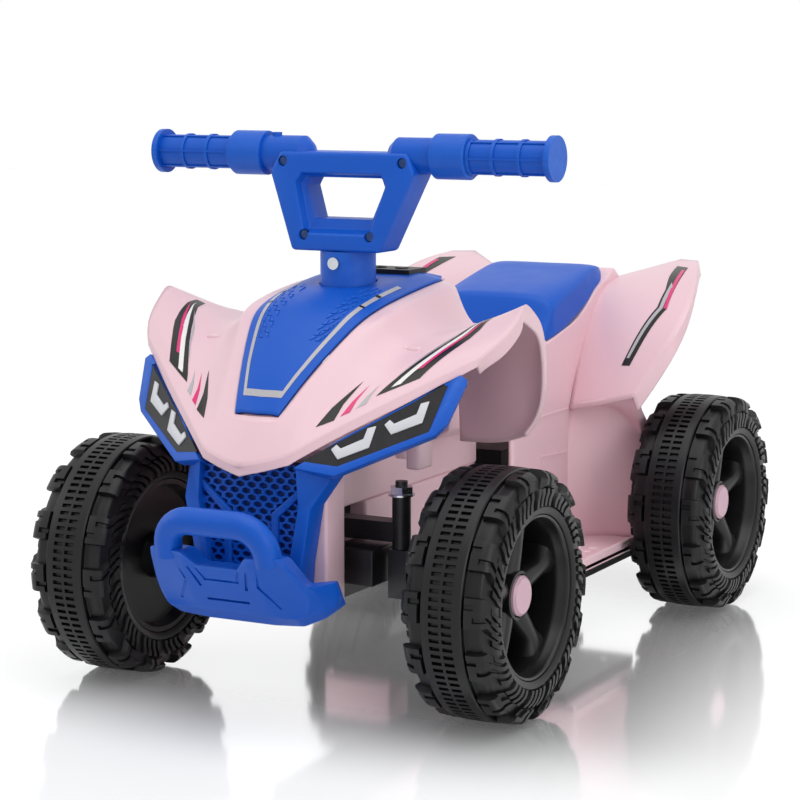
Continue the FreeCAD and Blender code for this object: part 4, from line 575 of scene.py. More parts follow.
# A point in millimetres, or in shares of the scale that the piece's settings give
def placed(drawn, point):
    origin, scale = drawn.get("origin", (0, 0, 0)), drawn.get("scale", (1, 1, 1))
    return millimetres(*(start + part * size for start, part, size in zip(origin, point, scale)))


def netRows(drawn):
    return [[placed(drawn, point) for point in row] for row in drawn["rows"]]


# Rows drawn as a place along the piece and points in x and height
def stationRows(drawn):
    return [[placed(drawn, (x, along, z)) for x, z in half] for along, half in drawn["rows"]]


# The point of a net at a column and row that needn't be whole; columns below zero are on the other side
def between(rows, column, row):
    above = min(int(row), len(rows) - 2)
    inner = min(int(abs(column)), len(rows[0]) - 2)
    down, right = row - above, abs(column) - inner
    top = rows[above][inner].lerp(rows[above][inner + 1], right)
    low = rows[above + 1][inner].lerp(rows[above + 1][inner + 1], right)
    point = top.lerp(low, down)
    return flipped(point) if column < 0 else point


# Film laid on a piece: outlines in columns and rows of the piece's net, cut fine and dropped on its surface.
# Each outline has a look's number and a layer; with a rise, the outlines stand proud of the surface.
def addFilm(name, outlines, rows, target, filmLooks, slot, step=(0.08, 0.08), lift=0.25, rise=0,
            shoulder=0.25, tolerance=1e-6):
    bm = bmesh.new()
    level = bm.verts.layers.float.new("level")
    for number, layer, corners in outlines:
        verts = [bm.verts.new((column, row, 0)) for column, row in corners]
        for vert in verts:
            vert[level] = layer
        bm.faces.new(verts).material_index = number
    for axis in (0, 1):
        values = [vert.co[axis] for vert in bm.verts]
        cut = math.floor(min(values) / step[axis]) * step[axis]
        while cut < max(values):
            spot, normal = Vector(), Vector()
            spot[axis] = cut
            normal[axis] = 1
            everything = bm.verts[:] + bm.edges[:] + bm.faces[:]
            bmesh.ops.bisect_plane(bm, geom=everything, dist=tolerance, plane_co=spot, plane_no=normal)
            cut += step[axis]
    bpy.context.view_layer.update()
    graph = bpy.context.evaluated_depsgraph_get()
    tree = BVHTree.FromObject(target, graph)
    for vert in bm.verts:
        point, normal, _, _ = tree.find_nearest(between(rows, vert.co.x, vert.co.y))
        vert.co = point + normal * (lift * (1 + vert[level])) * mm
    outward(bm)
    for face in bm.faces:
        spot = face.calc_center_median()
        if face.normal.dot(tree.find_nearest(spot)[1]) < 0:
            face.normal_flip()
    if rise:
        bmesh.ops.inset_region(bm, faces=bm.faces, thickness=shoulder * mm, depth=rise * mm,
                               use_boundary=True)
    return addPiece(name, bm, filmLooks, slot, sharp=30)


def otherSide(outlines):
    return [(number, layer, [(-column, row) for column, row in corners])
            for number, layer, corners in outlines]


def bothSides(outlines):
    return outlines + otherSide(outlines)


# Hood, as shares of its half span, length and rise, from the middle outwards
hood = {
    "origin": (0, -302, 195), "scale": (167, 262, 140), "wall": 3,
    "rows": [
        [(0, 0, 0), (0.115, 0.018, 0.03), (0.23, 0.04, 0.07), (0.43, 0.14, 0.228), (0.69, 0.28, 0.415),
         (0.915, 0.41, 0.585), (0.9, 0.44, 0.535)],
        [(0, 0, 0.052), (0.115, 0.018, 0.082), (0.23, 0.042, 0.122), (0.43, 0.146, 0.288),
         (0.69, 0.288, 0.472), (0.935, 0.425, 0.645), (0.93, 0.45, 0.57)],
        [(0, 0.095, 0.31), (0.12, 0.105, 0.31), (0.235, 0.13, 0.325), (0.44, 0.225, 0.405),
         (0.71, 0.34, 0.57), (0.975, 0.47, 0.71), (0.975, 0.485, 0.62)],
        [(0, 0.195, 0.51), (0.195, 0.22, 0.525), (0.295, 0.25, 0.54), (0.49, 0.325, 0.55),
         (0.75, 0.425, 0.67), (1, 0.515, 0.765), (1, 0.525, 0.675)],
        [(0, 0.315, 0.705), (0.27, 0.35, 0.72), (0.355, 0.38, 0.73), (0.53, 0.445, 0.66),
         (0.78, 0.51, 0.745), (1.01, 0.555, 0.82), (1.01, 0.565, 0.73)],
        [(0, 0.51, 0.895), (0.32, 0.51, 0.855), (0.405, 0.52, 0.85), (0.55, 0.545, 0.71),
         (0.785, 0.575, 0.79), (1.01, 0.59, 0.87), (1.01, 0.59, 0.775)],
        [(0, 0.825, 0.98), (0.34, 0.825, 0.945), (0.42, 0.82, 0.92), (0.565, 0.72, 0.715),
         (0.78, 0.685, 0.78), (1, 0.63, 0.9), (1, 0.615, 0.8)],
        [(0, 0.905, 0.985), (0.33, 0.905, 0.95), (0.41, 0.89, 0.915), (0.55, 0.84, 0.7),
         (0.765, 0.785, 0.735), (0.985, 0.73, 0.81), (0.99, 0.695, 0.74)],
        [(0, 0.97, 0.985), (0.305, 0.965, 0.96), (0.38, 0.955, 0.9), (0.515, 0.92, 0.67),
         (0.735, 0.865, 0.66), (0.95, 0.84, 0.64), (0.965, 0.8, 0.61)],
        [(0, 0.99, 0.82), (0.305, 0.985, 0.805), (0.38, 0.98, 0.745), (0.49, 0.92, 0.345),
         (0.71, 0.885, 0.345), (0.92, 0.89, 0.27), (0.935, 0.845, 0.27)],
        [(0, 1, 0.6), (0.305, 0.995, 0.6), (0.38, 0.99, 0.6), (0.465, 0.885, 0), (0.685, 0.875, 0.015),
         (0.845, 0.86, 0.07), (0.86, 0.82, 0.075)],
    ],
    "rowCreases": {1: 1}, "columnCreases": {5: 1, 2: 0.45}, "openRows": range(2, 8),
    "corners": [(0, 0), (1, 0), (0, 2), (1, 2)],
    "looks": ["filmBlack", "filmWhite", "filmMagenta", "filmGrey"],
    # long bars along the mudguard and three short darts by the insert's corner
    "film": [
        (0, 0, [(3.3, 1.75), (3.95, 1.6), (4.25, 3.4), (4.3, 5.6), (4.1, 5.6), (3.75, 3.6)]),
        (1, 1, [(3.5, 1.85), (3.65, 1.8), (3.98, 3.5), (4.17, 5.3), (3.86, 3.6)]),
        (2, 1, [(3.75, 2.3), (3.85, 2.25), (4.1, 3.7), (4.22, 5.1), (4.02, 3.8)]),
        (3, 1, [(3.42, 2.3), (3.5, 2.6), (3.74, 3.7), (3.98, 4.6), (3.68, 3.7)]),
        (0, 0, [(2.35, 1.5), (2.7, 1.45), (2.75, 2.7)]),
        (2, 0, [(2.8, 1.5), (2.98, 1.5), (2.98, 2.5)]),
        (3, 0, [(3.06, 1.55), (3.2, 1.55), (3.2, 2.35)]),
    ],
}


def addHood():
    rows = netRows(hood)
    piece = addSkin("hoodShell", netMesh(rows, hood, True), *pink, ["front_hood"])
    addFilm("hoodFilm", bothSides(hood["film"]), rows, piece, hood["looks"], "pink_body")
    thickened(piece, hood["wall"])
    print("hood done")


# Blue insert on the hood: rows follow the hood's opening
insert = {
    "rows": [
        [(0, 0.1, 0.33), (0.07, 0.105, 0.33)],
        [(0, 0.2, 0.545), (0.12, 0.205, 0.545)],
        [(0, 0.32, 0.745), (0.175, 0.335, 0.745)],
        [(0, 0.51, 0.925), (0.215, 0.51, 0.91)],
        [(0, 0.825, 0.9925), (0.225, 0.825, 0.9925)],
        [(0, 0.905, 0.9925), (0.22, 0.905, 0.9925)],
        [(0, 0.945, 0.9925), (0.2, 0.945, 0.9925)],
    ],
    "columnCreases": {1: 0.35}, "levels": 4, "lift": 2.24, "gap": 1, "rearGap": 4, "wall": 4,
    "stemY": -126, "stemHole": 24.5, "rimReach": 1.5, "well": 4,
    "looks": ["filmGrey", "filmBlack"],
    "leg": [(1.64, 3.55), (1.54, 2.2), (1.45, 1.1), (1.28, 0.36),
            (1.02, 0.52), (1.18, 1.1), (1.3, 2.2), (1.4, 3.55)],
    "foot": [(-1.28, 0.36), (1.28, 0.36), (1.02, 0.52), (-1.02, 0.52)],
    "ticks": [2.75, 3.15], "tickHalf": 0.025, "tickColumns": (1.33, 1.6),
    "teeth": {"from": 1.75, "to": 3.35, "count": 12, "columns": [0.72, 0.88, 1.04], "width": 0.13,
              "fill": 0.85, "step": (9, 9), "lift": 0.05, "rise": 0.7},
}


def insertRows():
    opening = hood["openRows"]
    rows = []
    for number, row in enumerate(insert["rows"], opening.start):
        edge = placed(hood, hood["rows"][number][1])
        edge += millimetres(-insert["gap"], 0, insert["lift"])
        if number == opening.stop:
            edge.y -= insert["rearGap"] * mm
        rows.append([placed(hood, share) for share in row] + [edge])
    return rows


# Opens the insert round the steering stem, and leaves a well for the power button's travel
def openInsert(piece):
    stem = millimetres(0, insert["stemY"], 0)
    reach = insert["stemHole"] * mm
    well = insert["well"] * mm
    low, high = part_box("power_button")
    bm = bmesh.new()
    bm.from_mesh(piece.data)
    gone = []
    for face in bm.faces:
        spot = face.calc_center_median()
        overButton = all(low[axis] - well < spot[axis] < high[axis] + well for axis in (0, 1))
        if overButton or all((vert.co - stem).xy.length < reach for vert in face.verts):
            gone.append(face)
    bmesh.ops.delete(bm, geom=gone, context="FACES")
    for vert in bm.verts:
        away = (vert.co - stem).xy
        if vert.is_boundary and away.length < insert["rimReach"] * reach:
            vert.co.xy = stem.xy + away.normalized() * reach
    bm.to_mesh(piece.data)
    bm.free()
    smoothed(piece, 0)


# A grey band along both legs and the foot, with two dark ticks on each leg
def insertStripes():
    leg = insert["leg"]
    joint = len(leg) // 2
    halves = list(zip(leg[:joint], reversed(leg[joint:])))
    stripes = [(0, 0, insert["foot"])]
    for (outer, inner), (nextOuter, nextInner) in zip(halves, halves[1:]):
        stripes += bothSides([(0, 0, [outer, nextOuter, nextInner, inner])])
    left, right = insert["tickColumns"]
    for row in insert["ticks"]:
        low, high = row - insert["tickHalf"], row + insert["tickHalf"]
        stripes += bothSides([(1, 1, [(left, low), (right, low), (right, high), (left, high)])])
    return stripes


def insertTeeth():
    teeth = insert["teeth"]
    pitch = (teeth["to"] - teeth["from"]) / teeth["count"]
    marks = []
    for number in range(teeth["count"]):
        low = teeth["from"] + number * pitch
        high = low + teeth["fill"] * pitch
        for place, left in enumerate(teeth["columns"]):
            right = left + teeth["width"]
            if (number + place) % 2:
                marks.append((0, 0, [(left, low), (right, low), (right, high)]))
            else:
                marks.append((0, 0, [(left, low), (right, high), (left, high)]))
    return bothSides(marks)


def addInsert():
    rows = insertRows()
    piece = addSkin("hoodInsert", netMesh(rows, insert, True), *blue, ["hood_insert"], insert["levels"])
    settled(piece)
    openInsert(piece)
    addFilm("insertFilm", insertStripes(), rows, piece, insert["looks"], "blue_plastic")
    teeth = insert["teeth"]
    addFilm("insertTread", insertTeeth(), rows, piece, ["bluePlastic"], "blue_plastic", teeth["step"],
            teeth["lift"], teeth["rise"])
    thickened(piece, insert["wall"])
    print("insert done")


# Seat: rows from front to back, each a place and points from the middle outwards
seat = {
    "rows": [
        (141, [(0, 266.9), (39, 265.6), (58, 261.8), (59, 256.8)]),
        (155, [(0, 296), (44.5, 294), (59.7, 282.5), (61.6, 260)]),
        (185, [(0, 303.8), (46.4, 302), (59.7, 293.5), (62.2, 267.3)]),
        (230, [(0, 310.9), (47, 310.6), (58.4, 303.6), (61.6, 284.4)]),
        (248, [(0, 314.2), (46.4, 314), (56.5, 308.3), (60.3, 294)]),
        (269, [(0, 316.6), (45, 316.4), (54.6, 312), (58.4, 301.5)]),
        (287, [(0, 313.2), (42, 313), (49.5, 311.7), (50.8, 308.7)]),
    ],
    "wall": 3, "columnCreases": {2: 0.55}, "rowCreases": {1: 0.5},
}


def addSeat():
    addShell("seatShell", seat, *blue, ["seat"])
    print("seat done")


# Body from the cowl to the tail: stations as shares of length, half width and rise
bodyShell = {
    "origin": (0, 58, 59), "scale": (63.5, 352, 252), "wall": 2.5,
    "rows": [
        (0, [(0, 0.87), (0.78, 0.87), (0.97, 0.765), (1, 0.505), (1, 0)]),
        (0.2, [(0, 0.84), (0.82, 0.84), (0.97, 0.77), (1, 0.505), (1, 0)]),
        (0.232, [(0, 0.78), (0.94, 0.78), (0.98, 0.77), (1, 0.505), (1, 0)]),
        (0.33, [(0, 0.812), (0.96, 0.812), (0.99, 0.8), (1, 0.51), (1, 0)]),
        (0.435, [(0, 0.85), (0.97, 0.85), (1, 0.835), (1.02, 0.515), (1, 0.1)]),
        (0.54, [(0, 0.93), (0.97, 0.93), (1, 0.915), (1.08, 0.55), (1, 0.3)]),
        (0.6, [(0, 0.96), (0.97, 0.96), (1, 0.945), (1.14, 0.58), (1, 0.32)]),
        (0.67, [(0, 1), (0.94, 1), (1, 0.97), (1.16, 0.6), (1, 0.32)]),
        (0.71, [(0, 0.99), (0.89, 0.99), (0.97, 0.96), (1.13, 0.61), (0.97, 0.33)]),
        (0.77, [(0, 0.92), (0.81, 0.91), (0.9, 0.88), (1.06, 0.6), (0.94, 0.35)]),
        (0.81, [(0, 0.755), (0.68, 0.745), (0.74, 0.71), (0.87, 0.53), (0.77, 0.4)]),
    ],
    "rowCreases": {1: 0.8, 2: 0.8, 7: 0.5}, "columnCreases": {1: 0.8, 2: 0.5},
    # closed boxes: low corner, high corner and edge radius
    "boxes": [
        ((-57, -50, 195), (57, 62, 277), 6), ((-28.5, -250, 153), (28.5, 61, 219.5), 3),
        ((-28.5, -149, 100), (28.5, 61, 153), 3), ((-57.5, -265.5, 85), (57.5, -235.5, 209), 3),
        ((-28.5, -250, 100), (28.5, -209, 153), 3),
    ],
    "sideBoxes": [
        ((60, 58, 59), (128, 212, 66), 2), ((124, 58, 59), (128, 212, 71), 1.6),
        ((60, 58, 59), (128, 61, 101), 1.2),
    ],
    # raised lines on the footwell's inner side: y, z to y, z
    "lines": [((108, 189), (184, 189)), ((118, 152), (182, 148)),
              ((112, 112), (178, 108)), ((118, 152), (112, 112))],
    "lineHalf": 0.7, "lineRise": 0.9, "lineRoot": -1,
    # dots on the left footrest; the pedal is on the right one
    "dots": {"x": (76, 90, 104, 118), "y": (70, 86, 102, 118, 134, 150), "floor": 66, "radius": 5.2,
             "topRadius": 4.3, "rise": 0.9, "segments": 24},
}


def addBody():
    addShell("bodyShell", bodyShell, *pink, ["main_body"])
    bm = bmesh.new()
    for low, high, radius in bodyShell["boxes"]:
        softenedBox(bm, low, high, radius)
    addTwinBoxes(bm, bodyShell["sideBoxes"])
    addPiece("bodyFrame", bm, *pink, sharp=40)
    addFootwellLines()
    bm = bmesh.new()
    dots = bodyShell["dots"]
    for x in dots["x"]:
        for y in dots["y"]:
            spot = Matrix.Translation(millimetres(x, y, dots["floor"] + dots["rise"] / 2))
            addPeg(bm, spot, dots["segments"], dots["radius"], dots["topRadius"], dots["rise"])
    addPiece("floorDots", bm, *pink, sharp=40)
    print("body done")


def addFootwellLines():
    bm = bmesh.new()
    half, rise, root = bodyShell["lineHalf"], bodyShell["lineRise"], bodyShell["lineRoot"]
    for (yA, zA), (yB, zB) in bodyShell["lines"]:
        for side, sign in sides:
            verts = addBox(bm, (root, 0, -half), (rise, math.hypot(yB - yA, zB - zA), half))
            spin = Matrix.Rotation(math.atan2(zB - zA, yB - yA), 3, "X")
            bmesh.ops.rotate(bm, cent=(0, 0, 0), matrix=spin, verts=verts)
            bmesh.ops.translate(bm, vec=millimetres(bodyShell["scale"][0], yA, zA), verts=verts)
            bmesh.ops.scale(bm, vec=(sign, 1, 1), verts=verts)
    outward(bm)
    addPiece("footwellLines", bm, *pink, sharp=40)


# Wings over the rear tyres and the panels that close the footwells behind; columns from the body outwards
wing = {
    "origin": (0, 165.8, 191.3), "scale": (166, 172, 132), "wall": 3,
    "rows": [
        [(0.4, 0.09, -0.02), (0.62, 0.04, 0.045), (0.81, 0.02, 0.11), (0.83, 0.045, 0.01)],
        [(0.36, 0.3, 0.42), (0.65, 0.2, 0.405), (0.915, 0.14, 0.4), (0.935, 0.135, 0.255)],
        [(0.355, 0.505, 0.725), (0.69, 0.41, 0.71), (1, 0.31, 0.665), (1.01, 0.3, 0.565)],
        [(0.355, 0.685, 0.815), (0.65, 0.7, 0.87), (0.91, 0.67, 0.885), (0.92, 0.685, 0.82)],
        [(0.355, 0.8, 0.84), (0.675, 1.04, 0.965), (0.805, 0.98, 0.965), (0.82, 0.99, 0.855)],
    ],
    "columnCreases": {2: 0.85},
    "looks": ["filmBlack", "filmGrey", "filmMagenta"],
    "film": [
        (0, 0, [(1.2, 0.7), (1.42, 0.7), (1.72, 3.45), (1.3, 3.55), (1.42, 2.5)]),
        (1, 1, [(1.26, 0.85), (1.33, 0.85), (1.56, 2.6), (1.5, 2.75)]),
        (2, 1, [(1.5, 2.0), (1.57, 2.0), (1.68, 3.3), (1.58, 3.3)]),
    ],
}
panel = {
    "wall": 4,
    "rows": [
        [(60, 188, 62), (95, 209, 62), (124, 214, 62), (129, 221, 62)],
        [(60, 180, 133), (95, 205, 133), (124, 218, 133), (129, 225, 133)],
        [(62, 187, 187), (101, 199, 190), (124, 217, 164), (129, 226, 170)],
        [(66, 184, 189), (103, 174, 198), (134, 172, 206), (136, 181, 198)],
    ],
    "rowCreases": {2: 0.8}, "columnCreases": {2: 0.8},
}


def addWings():
    rows = netRows(wing)
    for side, sign in sides:
        piece = addSkin(side + "Wing", mirroredTo(netMesh(rows, wing), sign), *pink)
        outlines = wing["film"] if sign > 0 else otherSide(wing["film"])
        addFilm(side + "WingFilm", outlines, rows, piece, wing["looks"], "pink_body")
        thickened(piece, wing["wall"])
        piece = addSkin(side + "Panel", mirroredTo(netMesh(netRows(panel), panel), sign), *pink)
        thickened(piece, panel["wall"])
    print("wings done")


# Cowl under the hood's tail
cowl = {
    "rows": [(-57, [(0, 278), (49.5, 278), (57, 269), (59, 201), (46, 192)]),
             (0, [(0, 278), (49.5, 278), (59, 269), (61, 201), (53, 192)]),
             (60, [(0, 278), (49.5, 278), (61.6, 269), (63.5, 201), (59.5, 192)])],
    "columnCreases": {1: 0.7, 2: 0.6, 3: 0.7}, "wall": 2.5,
}


def addCowl():
    addShell("cowlShell", cowl, *pink)
    print("cowl done")


# Handlebar: a plate with a pocket and a finger hole, and a tube out of each side
handlebar = {
    "y": -119, "z": 435, "lean": 13 / 80.5,
    # half outlines from the foot up, with the place of each loop along the depth
    "loops": [
        (-17.5, [(41, 357), (67.5, 421), (59.5, 437.5)]), (-17.5, [(30.5, 371), (42.5, 412), (37, 420.5)]),
        (-9.5, [(29, 375), (40.5, 411), (36, 418.5)]), (-8, [(27.5, 383), (37, 409), (33.5, 416.5)]),
        (17.5, [(27.5, 383), (37, 409), (33.5, 416.5)]), (17.5, [(41, 357), (67.5, 421), (59.5, 437.5)]),
    ],
    "outerLoops": (0, 5), "outerRound": 4.5, "innerRound": 1.6, "roundSegments": 5, "sharpTurn": 20,
    "screws": [(55.5, 429.5), (30.5, 370)], "screwHole": 4.4, "screwDepth": 5.5, "screwSegments": 32,
    "tube": [(34, 0.5), (36, 6), (38, 9.5), (44, 14.9), (78.6, 14.9), (79, 17.8), (79.8, 18.5), (109, 18.5),
             (110, 17.6), (110, 0.5)],
    "tubeSteps": 40,
}


# The plate's loops bridged in turn, with the weights that its rounding follows
def plateMesh():
    bm = bmesh.new()
    weight = bm.edges.layers.float.new("bevel_weight_edge")
    loops = []
    for depth, half in handlebar["loops"]:
        ring = half + [(-x, z) for x, z in reversed(half)]
        loops.append(addLoop(bm, [millimetres(x, depth, z) for x, z in ring])[1])
    for first, second in zip(loops, loops[1:] + loops[:1]):
        bmesh.ops.bridge_loops(bm, edges=first + second)
    outward(bm)
    outer = {vert for number in handlebar["outerLoops"] for edge in loops[number] for vert in edge.verts}
    share = handlebar["innerRound"] / handlebar["outerRound"]
    for edge in bm.edges:
        if edge.calc_face_angle(0) > math.radians(handlebar["sharpTurn"]):
            edge[weight] = 1 if all(vert in outer for vert in edge.verts) else share
    for vert in bm.verts:
        vert.co.y += handlebar["y"] * mm - handlebar["lean"] * (handlebar["z"] * mm - vert.co.z)
    return bm


def addHandlebar():
    piece = addPiece("handlebarShell", plateMesh(), *blue, sharp=30,
                     stands=["handlebar_front", "handlebar_rear"], body="handlebar")
    soft = piece.modifiers.new("soft", "BEVEL")
    soft.limit_method = "WEIGHT"
    soft.width = handlebar["outerRound"] * mm
    soft.segments = handlebar["roundSegments"]
    cutter = bmesh.new()
    face = handlebar["y"] + handlebar["loops"][0][0]
    for x, z in handlebar["screws"]:
        y = face - handlebar["lean"] * (handlebar["z"] - z)
        for side, sign in sides:
            spot = Matrix.Translation(millimetres(sign * x, y, z)) @ Matrix.Rotation(math.pi / 2, 4, "X")
            addPeg(cutter, spot, handlebar["screwSegments"], handlebar["screwHole"], handlebar["screwHole"],
                   2 * handlebar["screwDepth"])
    carved(piece, cutter)
    plain = spunAlongX(handlebar["tube"], handlebar["tubeSteps"])
    for side, sign in sides:
        bm = turnedTo(plain.copy(), sign)
        bmesh.ops.translate(bm, vec=millimetres(0, handlebar["y"], handlebar["z"]), verts=bm.verts)
        addPiece(side + "BarTube", bm, *blue, sharp=40, body="handlebar")
    plain.free()
    print("handlebar done")


# Bumper: a leaning plate with a dip in its top, swept back to its ends, with a hoop and two arms
bumper = {
    # columns from the middle outwards, each from the back foot round the front to the top's back edge
    "columns": [
        [(0, -283, 86), (0, -298, 80), (0, -311, 90), (0, -322, 107), (0, -335, 129.5), (0, -317, 130)],
        [(18, -283, 86), (18, -298, 80), (18, -311, 90), (18, -322, 107), (18, -335, 129.5), (18, -317, 130)],
        [(30, -283, 86), (30, -298, 80), (31, -311, 90), (33, -322, 107), (29, -342, 140), (29, -319, 140)],
        [(58, -283, 88), (56, -298, 82), (58, -311.4, 90.4), (67, -313, 106), (57, -339, 141),
         (54, -316, 139)],
        [(71, -279, 92), (70, -290, 88), (71, -299, 94), (72.5, -303, 106), (69, -315, 117), (62, -298, 117)],
        [(79, -274, 97), (78, -281, 95), (79, -287, 99), (80, -288, 107), (78, -289, 116.5), (75, -280, 116)],
        [(79.6, -281, 106)] * 6,
    ],
    "rowCreases": {0: 1, 1: 0.85, 2: 0.97, 3: 0, 4: 0.97, 5: 0.92},
    "columnCreases": {1: 0.95, 2: 0.95, 3: 0.98, 4: 0.96, 5: 0.95},
    "hoop": [(44.9, -331.6, 136), (42, -339.2, 164.5), (-42, -339.2, 164.5), (-44.9, -331.6, 136)],
    "hoopRadius": 10.8, "hoopBend": 22.5,
    "arms": [((20, -299.8, 81), (38, -265.8, 99), 1.5)],
    # engraved strokes on the leaning face, x and height
    "strokes": [((36.8, 130), (32.5, 114.7)), ((32.5, 114.7), (44.3, 97.6)), ((26, 126), (20.8, 111.9)),
                ((18.7, 125.3), (14.5, 117.3)), ((14.5, 117.3), (0, 117.3)), ((17.8, 100), (0, 100)),
                ((54, 131), (60, 112)), ((60, 112), (54, 100))],
    "faceFoot": (-311.4, 90.4), "faceSlope": -0.685, "strokeWidth": 2.6, "strokeDepth": 2.6,
}


def addTube(bm, points, radius, bend, segments=28, steps=9):
    points = [millimetres(*point) for point in points]
    spot = points[0]
    ahead = (points[1] - spot).normalized()
    turn = Matrix.Translation(spot) @ ahead.to_track_quat("Z", "Y").to_matrix().to_4x4()
    verts = bmesh.ops.create_circle(bm, segments=segments, radius=radius * mm, matrix=turn)["verts"]
    edges = list({edge for vert in verts for edge in vert.link_edges})
    for number in range(1, len(points)):
        ahead = (points[number] - points[number - 1]).normalized()
        end = points[number]
        last = number == len(points) - 1
        if not last:
            after = (points[number + 1] - points[number]).normalized()
            trim = bend * mm * math.tan(ahead.angle(after) / 2)
            end = end - ahead * trim
        made = bmesh.ops.extrude_edge_only(bm, edges=edges)["geom"]
        verts, edges = onlyVerts(made), onlyEdges(made)
        bmesh.ops.translate(bm, vec=end - spot, verts=verts)
        if not last:
            axis = ahead.cross(after).normalized()
            centre = end + axis.cross(ahead) * bend * mm
            made = bmesh.ops.spin(bm, geom=verts + edges, cent=centre, axis=axis, angle=ahead.angle(after),
                                  steps=steps)
            edges = onlyEdges(made["geom_last"])
            spot = points[number] + after * trim
    outward(bm)


def addStroke(bm, start, end, width, depth, facing):
    ahead = (end - start).normalized()
    side = facing.cross(ahead)
    turn = Matrix((ahead, side, facing)).transposed().to_4x4()
    verts = bmesh.ops.create_cube(bm, size=1)["verts"]
    size = Vector(((end - start).length + width * mm, width * mm, 2 * depth * mm))
    bmesh.ops.scale(bm, vec=size, verts=verts)
    bmesh.ops.transform(bm, matrix=Matrix.Translation((start + end) / 2) @ turn, verts=verts)


def addBumper():
    corners = [*range(len(bumper["columns"][0])), 0]  # the last row closes the loop
    rows = [[millimetres(*column[corner]) for column in bumper["columns"]] for corner in corners]
    bm = netMesh(rows, bumper, True)
    bmesh.ops.remove_doubles(bm, verts=bm.verts, dist=weld)
    piece = addSkin("bumperShell", bm, *blue, ["front_bumper"])
    footY, footZ = bumper["faceFoot"]
    slope = bumper["faceSlope"]
    facing = Vector((0, -1, slope)).normalized()
    cutter = bmesh.new()
    for start, end in bumper["strokes"]:
        for side, sign in sides:
            ends = [millimetres(sign * x, footY + slope * (z - footZ), z) for x, z in (start, end)]
            addStroke(cutter, *ends, bumper["strokeWidth"], bumper["strokeDepth"], facing)
    carved(piece, cutter, sharp=38)
    bm = bmesh.new()
    addTube(bm, bumper["hoop"], bumper["hoopRadius"], bumper["hoopBend"])
    addTwinBoxes(bm, bumper["arms"])
    addPiece("bumperHoop", bm, *blue, sharp=40)
    print("bumper done")


# Grille: a screen whose darker blue is painted shade behind the honeycomb, two bent ribs and two waisted
# pillars, as half outlines in x and height
grille = {
    "screen": (-279, -268), "comb": (-282.2, -278.6), "ribs": (-284.4, -279), "pillars": (-288.8, -267),
    "screenHalf": [(46, 203), (46, 172), (37, 128), (36, 101)],
    "rib": [(45.5, 180.5), (24.5, 161.5), (24.5, 104), (18.5, 104), (18.5, 164.5), (45.5, 187.5)],
    "pillar": [(43, 203), (45, 172), (38, 135), (36.5, 101), (46.5, 101), (48.5, 126), (56.5, 172),
               (65.5, 196, -268)],
    "round": 1.1, "pitch": 10.4, "rowPitch": 5.05, "holeHalf": 4.3, "holeRise": 2.2, "foot": 102, "rows": 20,
    "columns": range(-5, 6), "combHalf": 45, "cutDepth": 8, "cellSides": 6,
}


# A slab from an outline in x and height; a third number gives a point its own depth
def addUpright(bm, outline, depths):
    front, back = depths
    corners = [millimetres(x, (own or [front])[0], z) for x, z, *own in outline]
    addSlab(bm, corners, millimetres(0, back - front, 0))


def combCutter():
    cutter = bmesh.new()
    hole = grille["holeHalf"]
    flatten = grille["holeRise"] / (hole * math.cos(math.pi / grille["cellSides"]))
    shape = Matrix.Diagonal((1, 1, flatten, 1)) @ Matrix.Rotation(math.pi / 2, 4, "X")
    for row in range(grille["rows"]):
        z = grille["foot"] + (row + 0.5) * grille["rowPitch"]
        for column in grille["columns"]:
            x = (column + (row % 2) / 2) * grille["pitch"]
            if abs(x) < grille["combHalf"]:
                place = Matrix.Translation(millimetres(x, sum(grille["comb"]) / 2, z)) @ shape
                addPeg(cutter, place, grille["cellSides"], hole, hole, grille["cutDepth"])
    return cutter


def addGrille():
    half = grille["screenHalf"]
    whole = half + [(-x, z) for x, z in reversed(half)]
    bm = bmesh.new()
    addUpright(bm, whole, grille["screen"])
    # the screen's darker blue is painted shade behind the comb
    addPiece("grilleScreen", bm, "blueRecess", "blue_plastic", sharp=30)
    bm = bmesh.new()
    for key, depths in (("rib", "ribs"), ("pillar", "pillars")):
        for side, sign in sides:
            addUpright(bm, [(sign * x, *rest) for x, *rest in grille[key]], grille[depths])
    softened(bm, grille["round"])
    addPiece("grilleFrame", bm, *blue, sharp=30, stands=["front_grille"])
    bm = bmesh.new()
    addUpright(bm, whole, grille["comb"])
    piece = addPiece("grilleComb", bm, *blue, sharp=30)
    carved(piece, combCutter())
    print("grille done")


# Headlights: rounded frames and two hooked bars on each panel, in the lamp's own plane
headlight = {
    "origin": (72, -280.5, 197.7), "yaw": 25.5, "tilt": 63.5, "round": 1.2, "barFoot": -0.8, "barRise": 1.7,
    "bar": [(-2.4, 21), (2.7, 13.2), (26.7, 22.8), (32.1, 40.2), (25.3, 38.3), (22.2, 29.7), (5.1, 21.9),
            (1.8, 25)],
    "step": (40.6, 20.2), "barRound": 0.4, "barSegments": 2, "flatTurn": 0.5,
}


# A node's mesh with its loose triangles merged into whole faces
def cadCopy(name, flatTurn):
    bm = bmesh.new()
    bm.from_mesh(nodes[name].data)
    bmesh.ops.remove_doubles(bm, verts=bm.verts, dist=weld)
    bmesh.ops.dissolve_limit(bm, angle_limit=math.radians(flatTurn), verts=bm.verts, edges=bm.edges)
    return bm


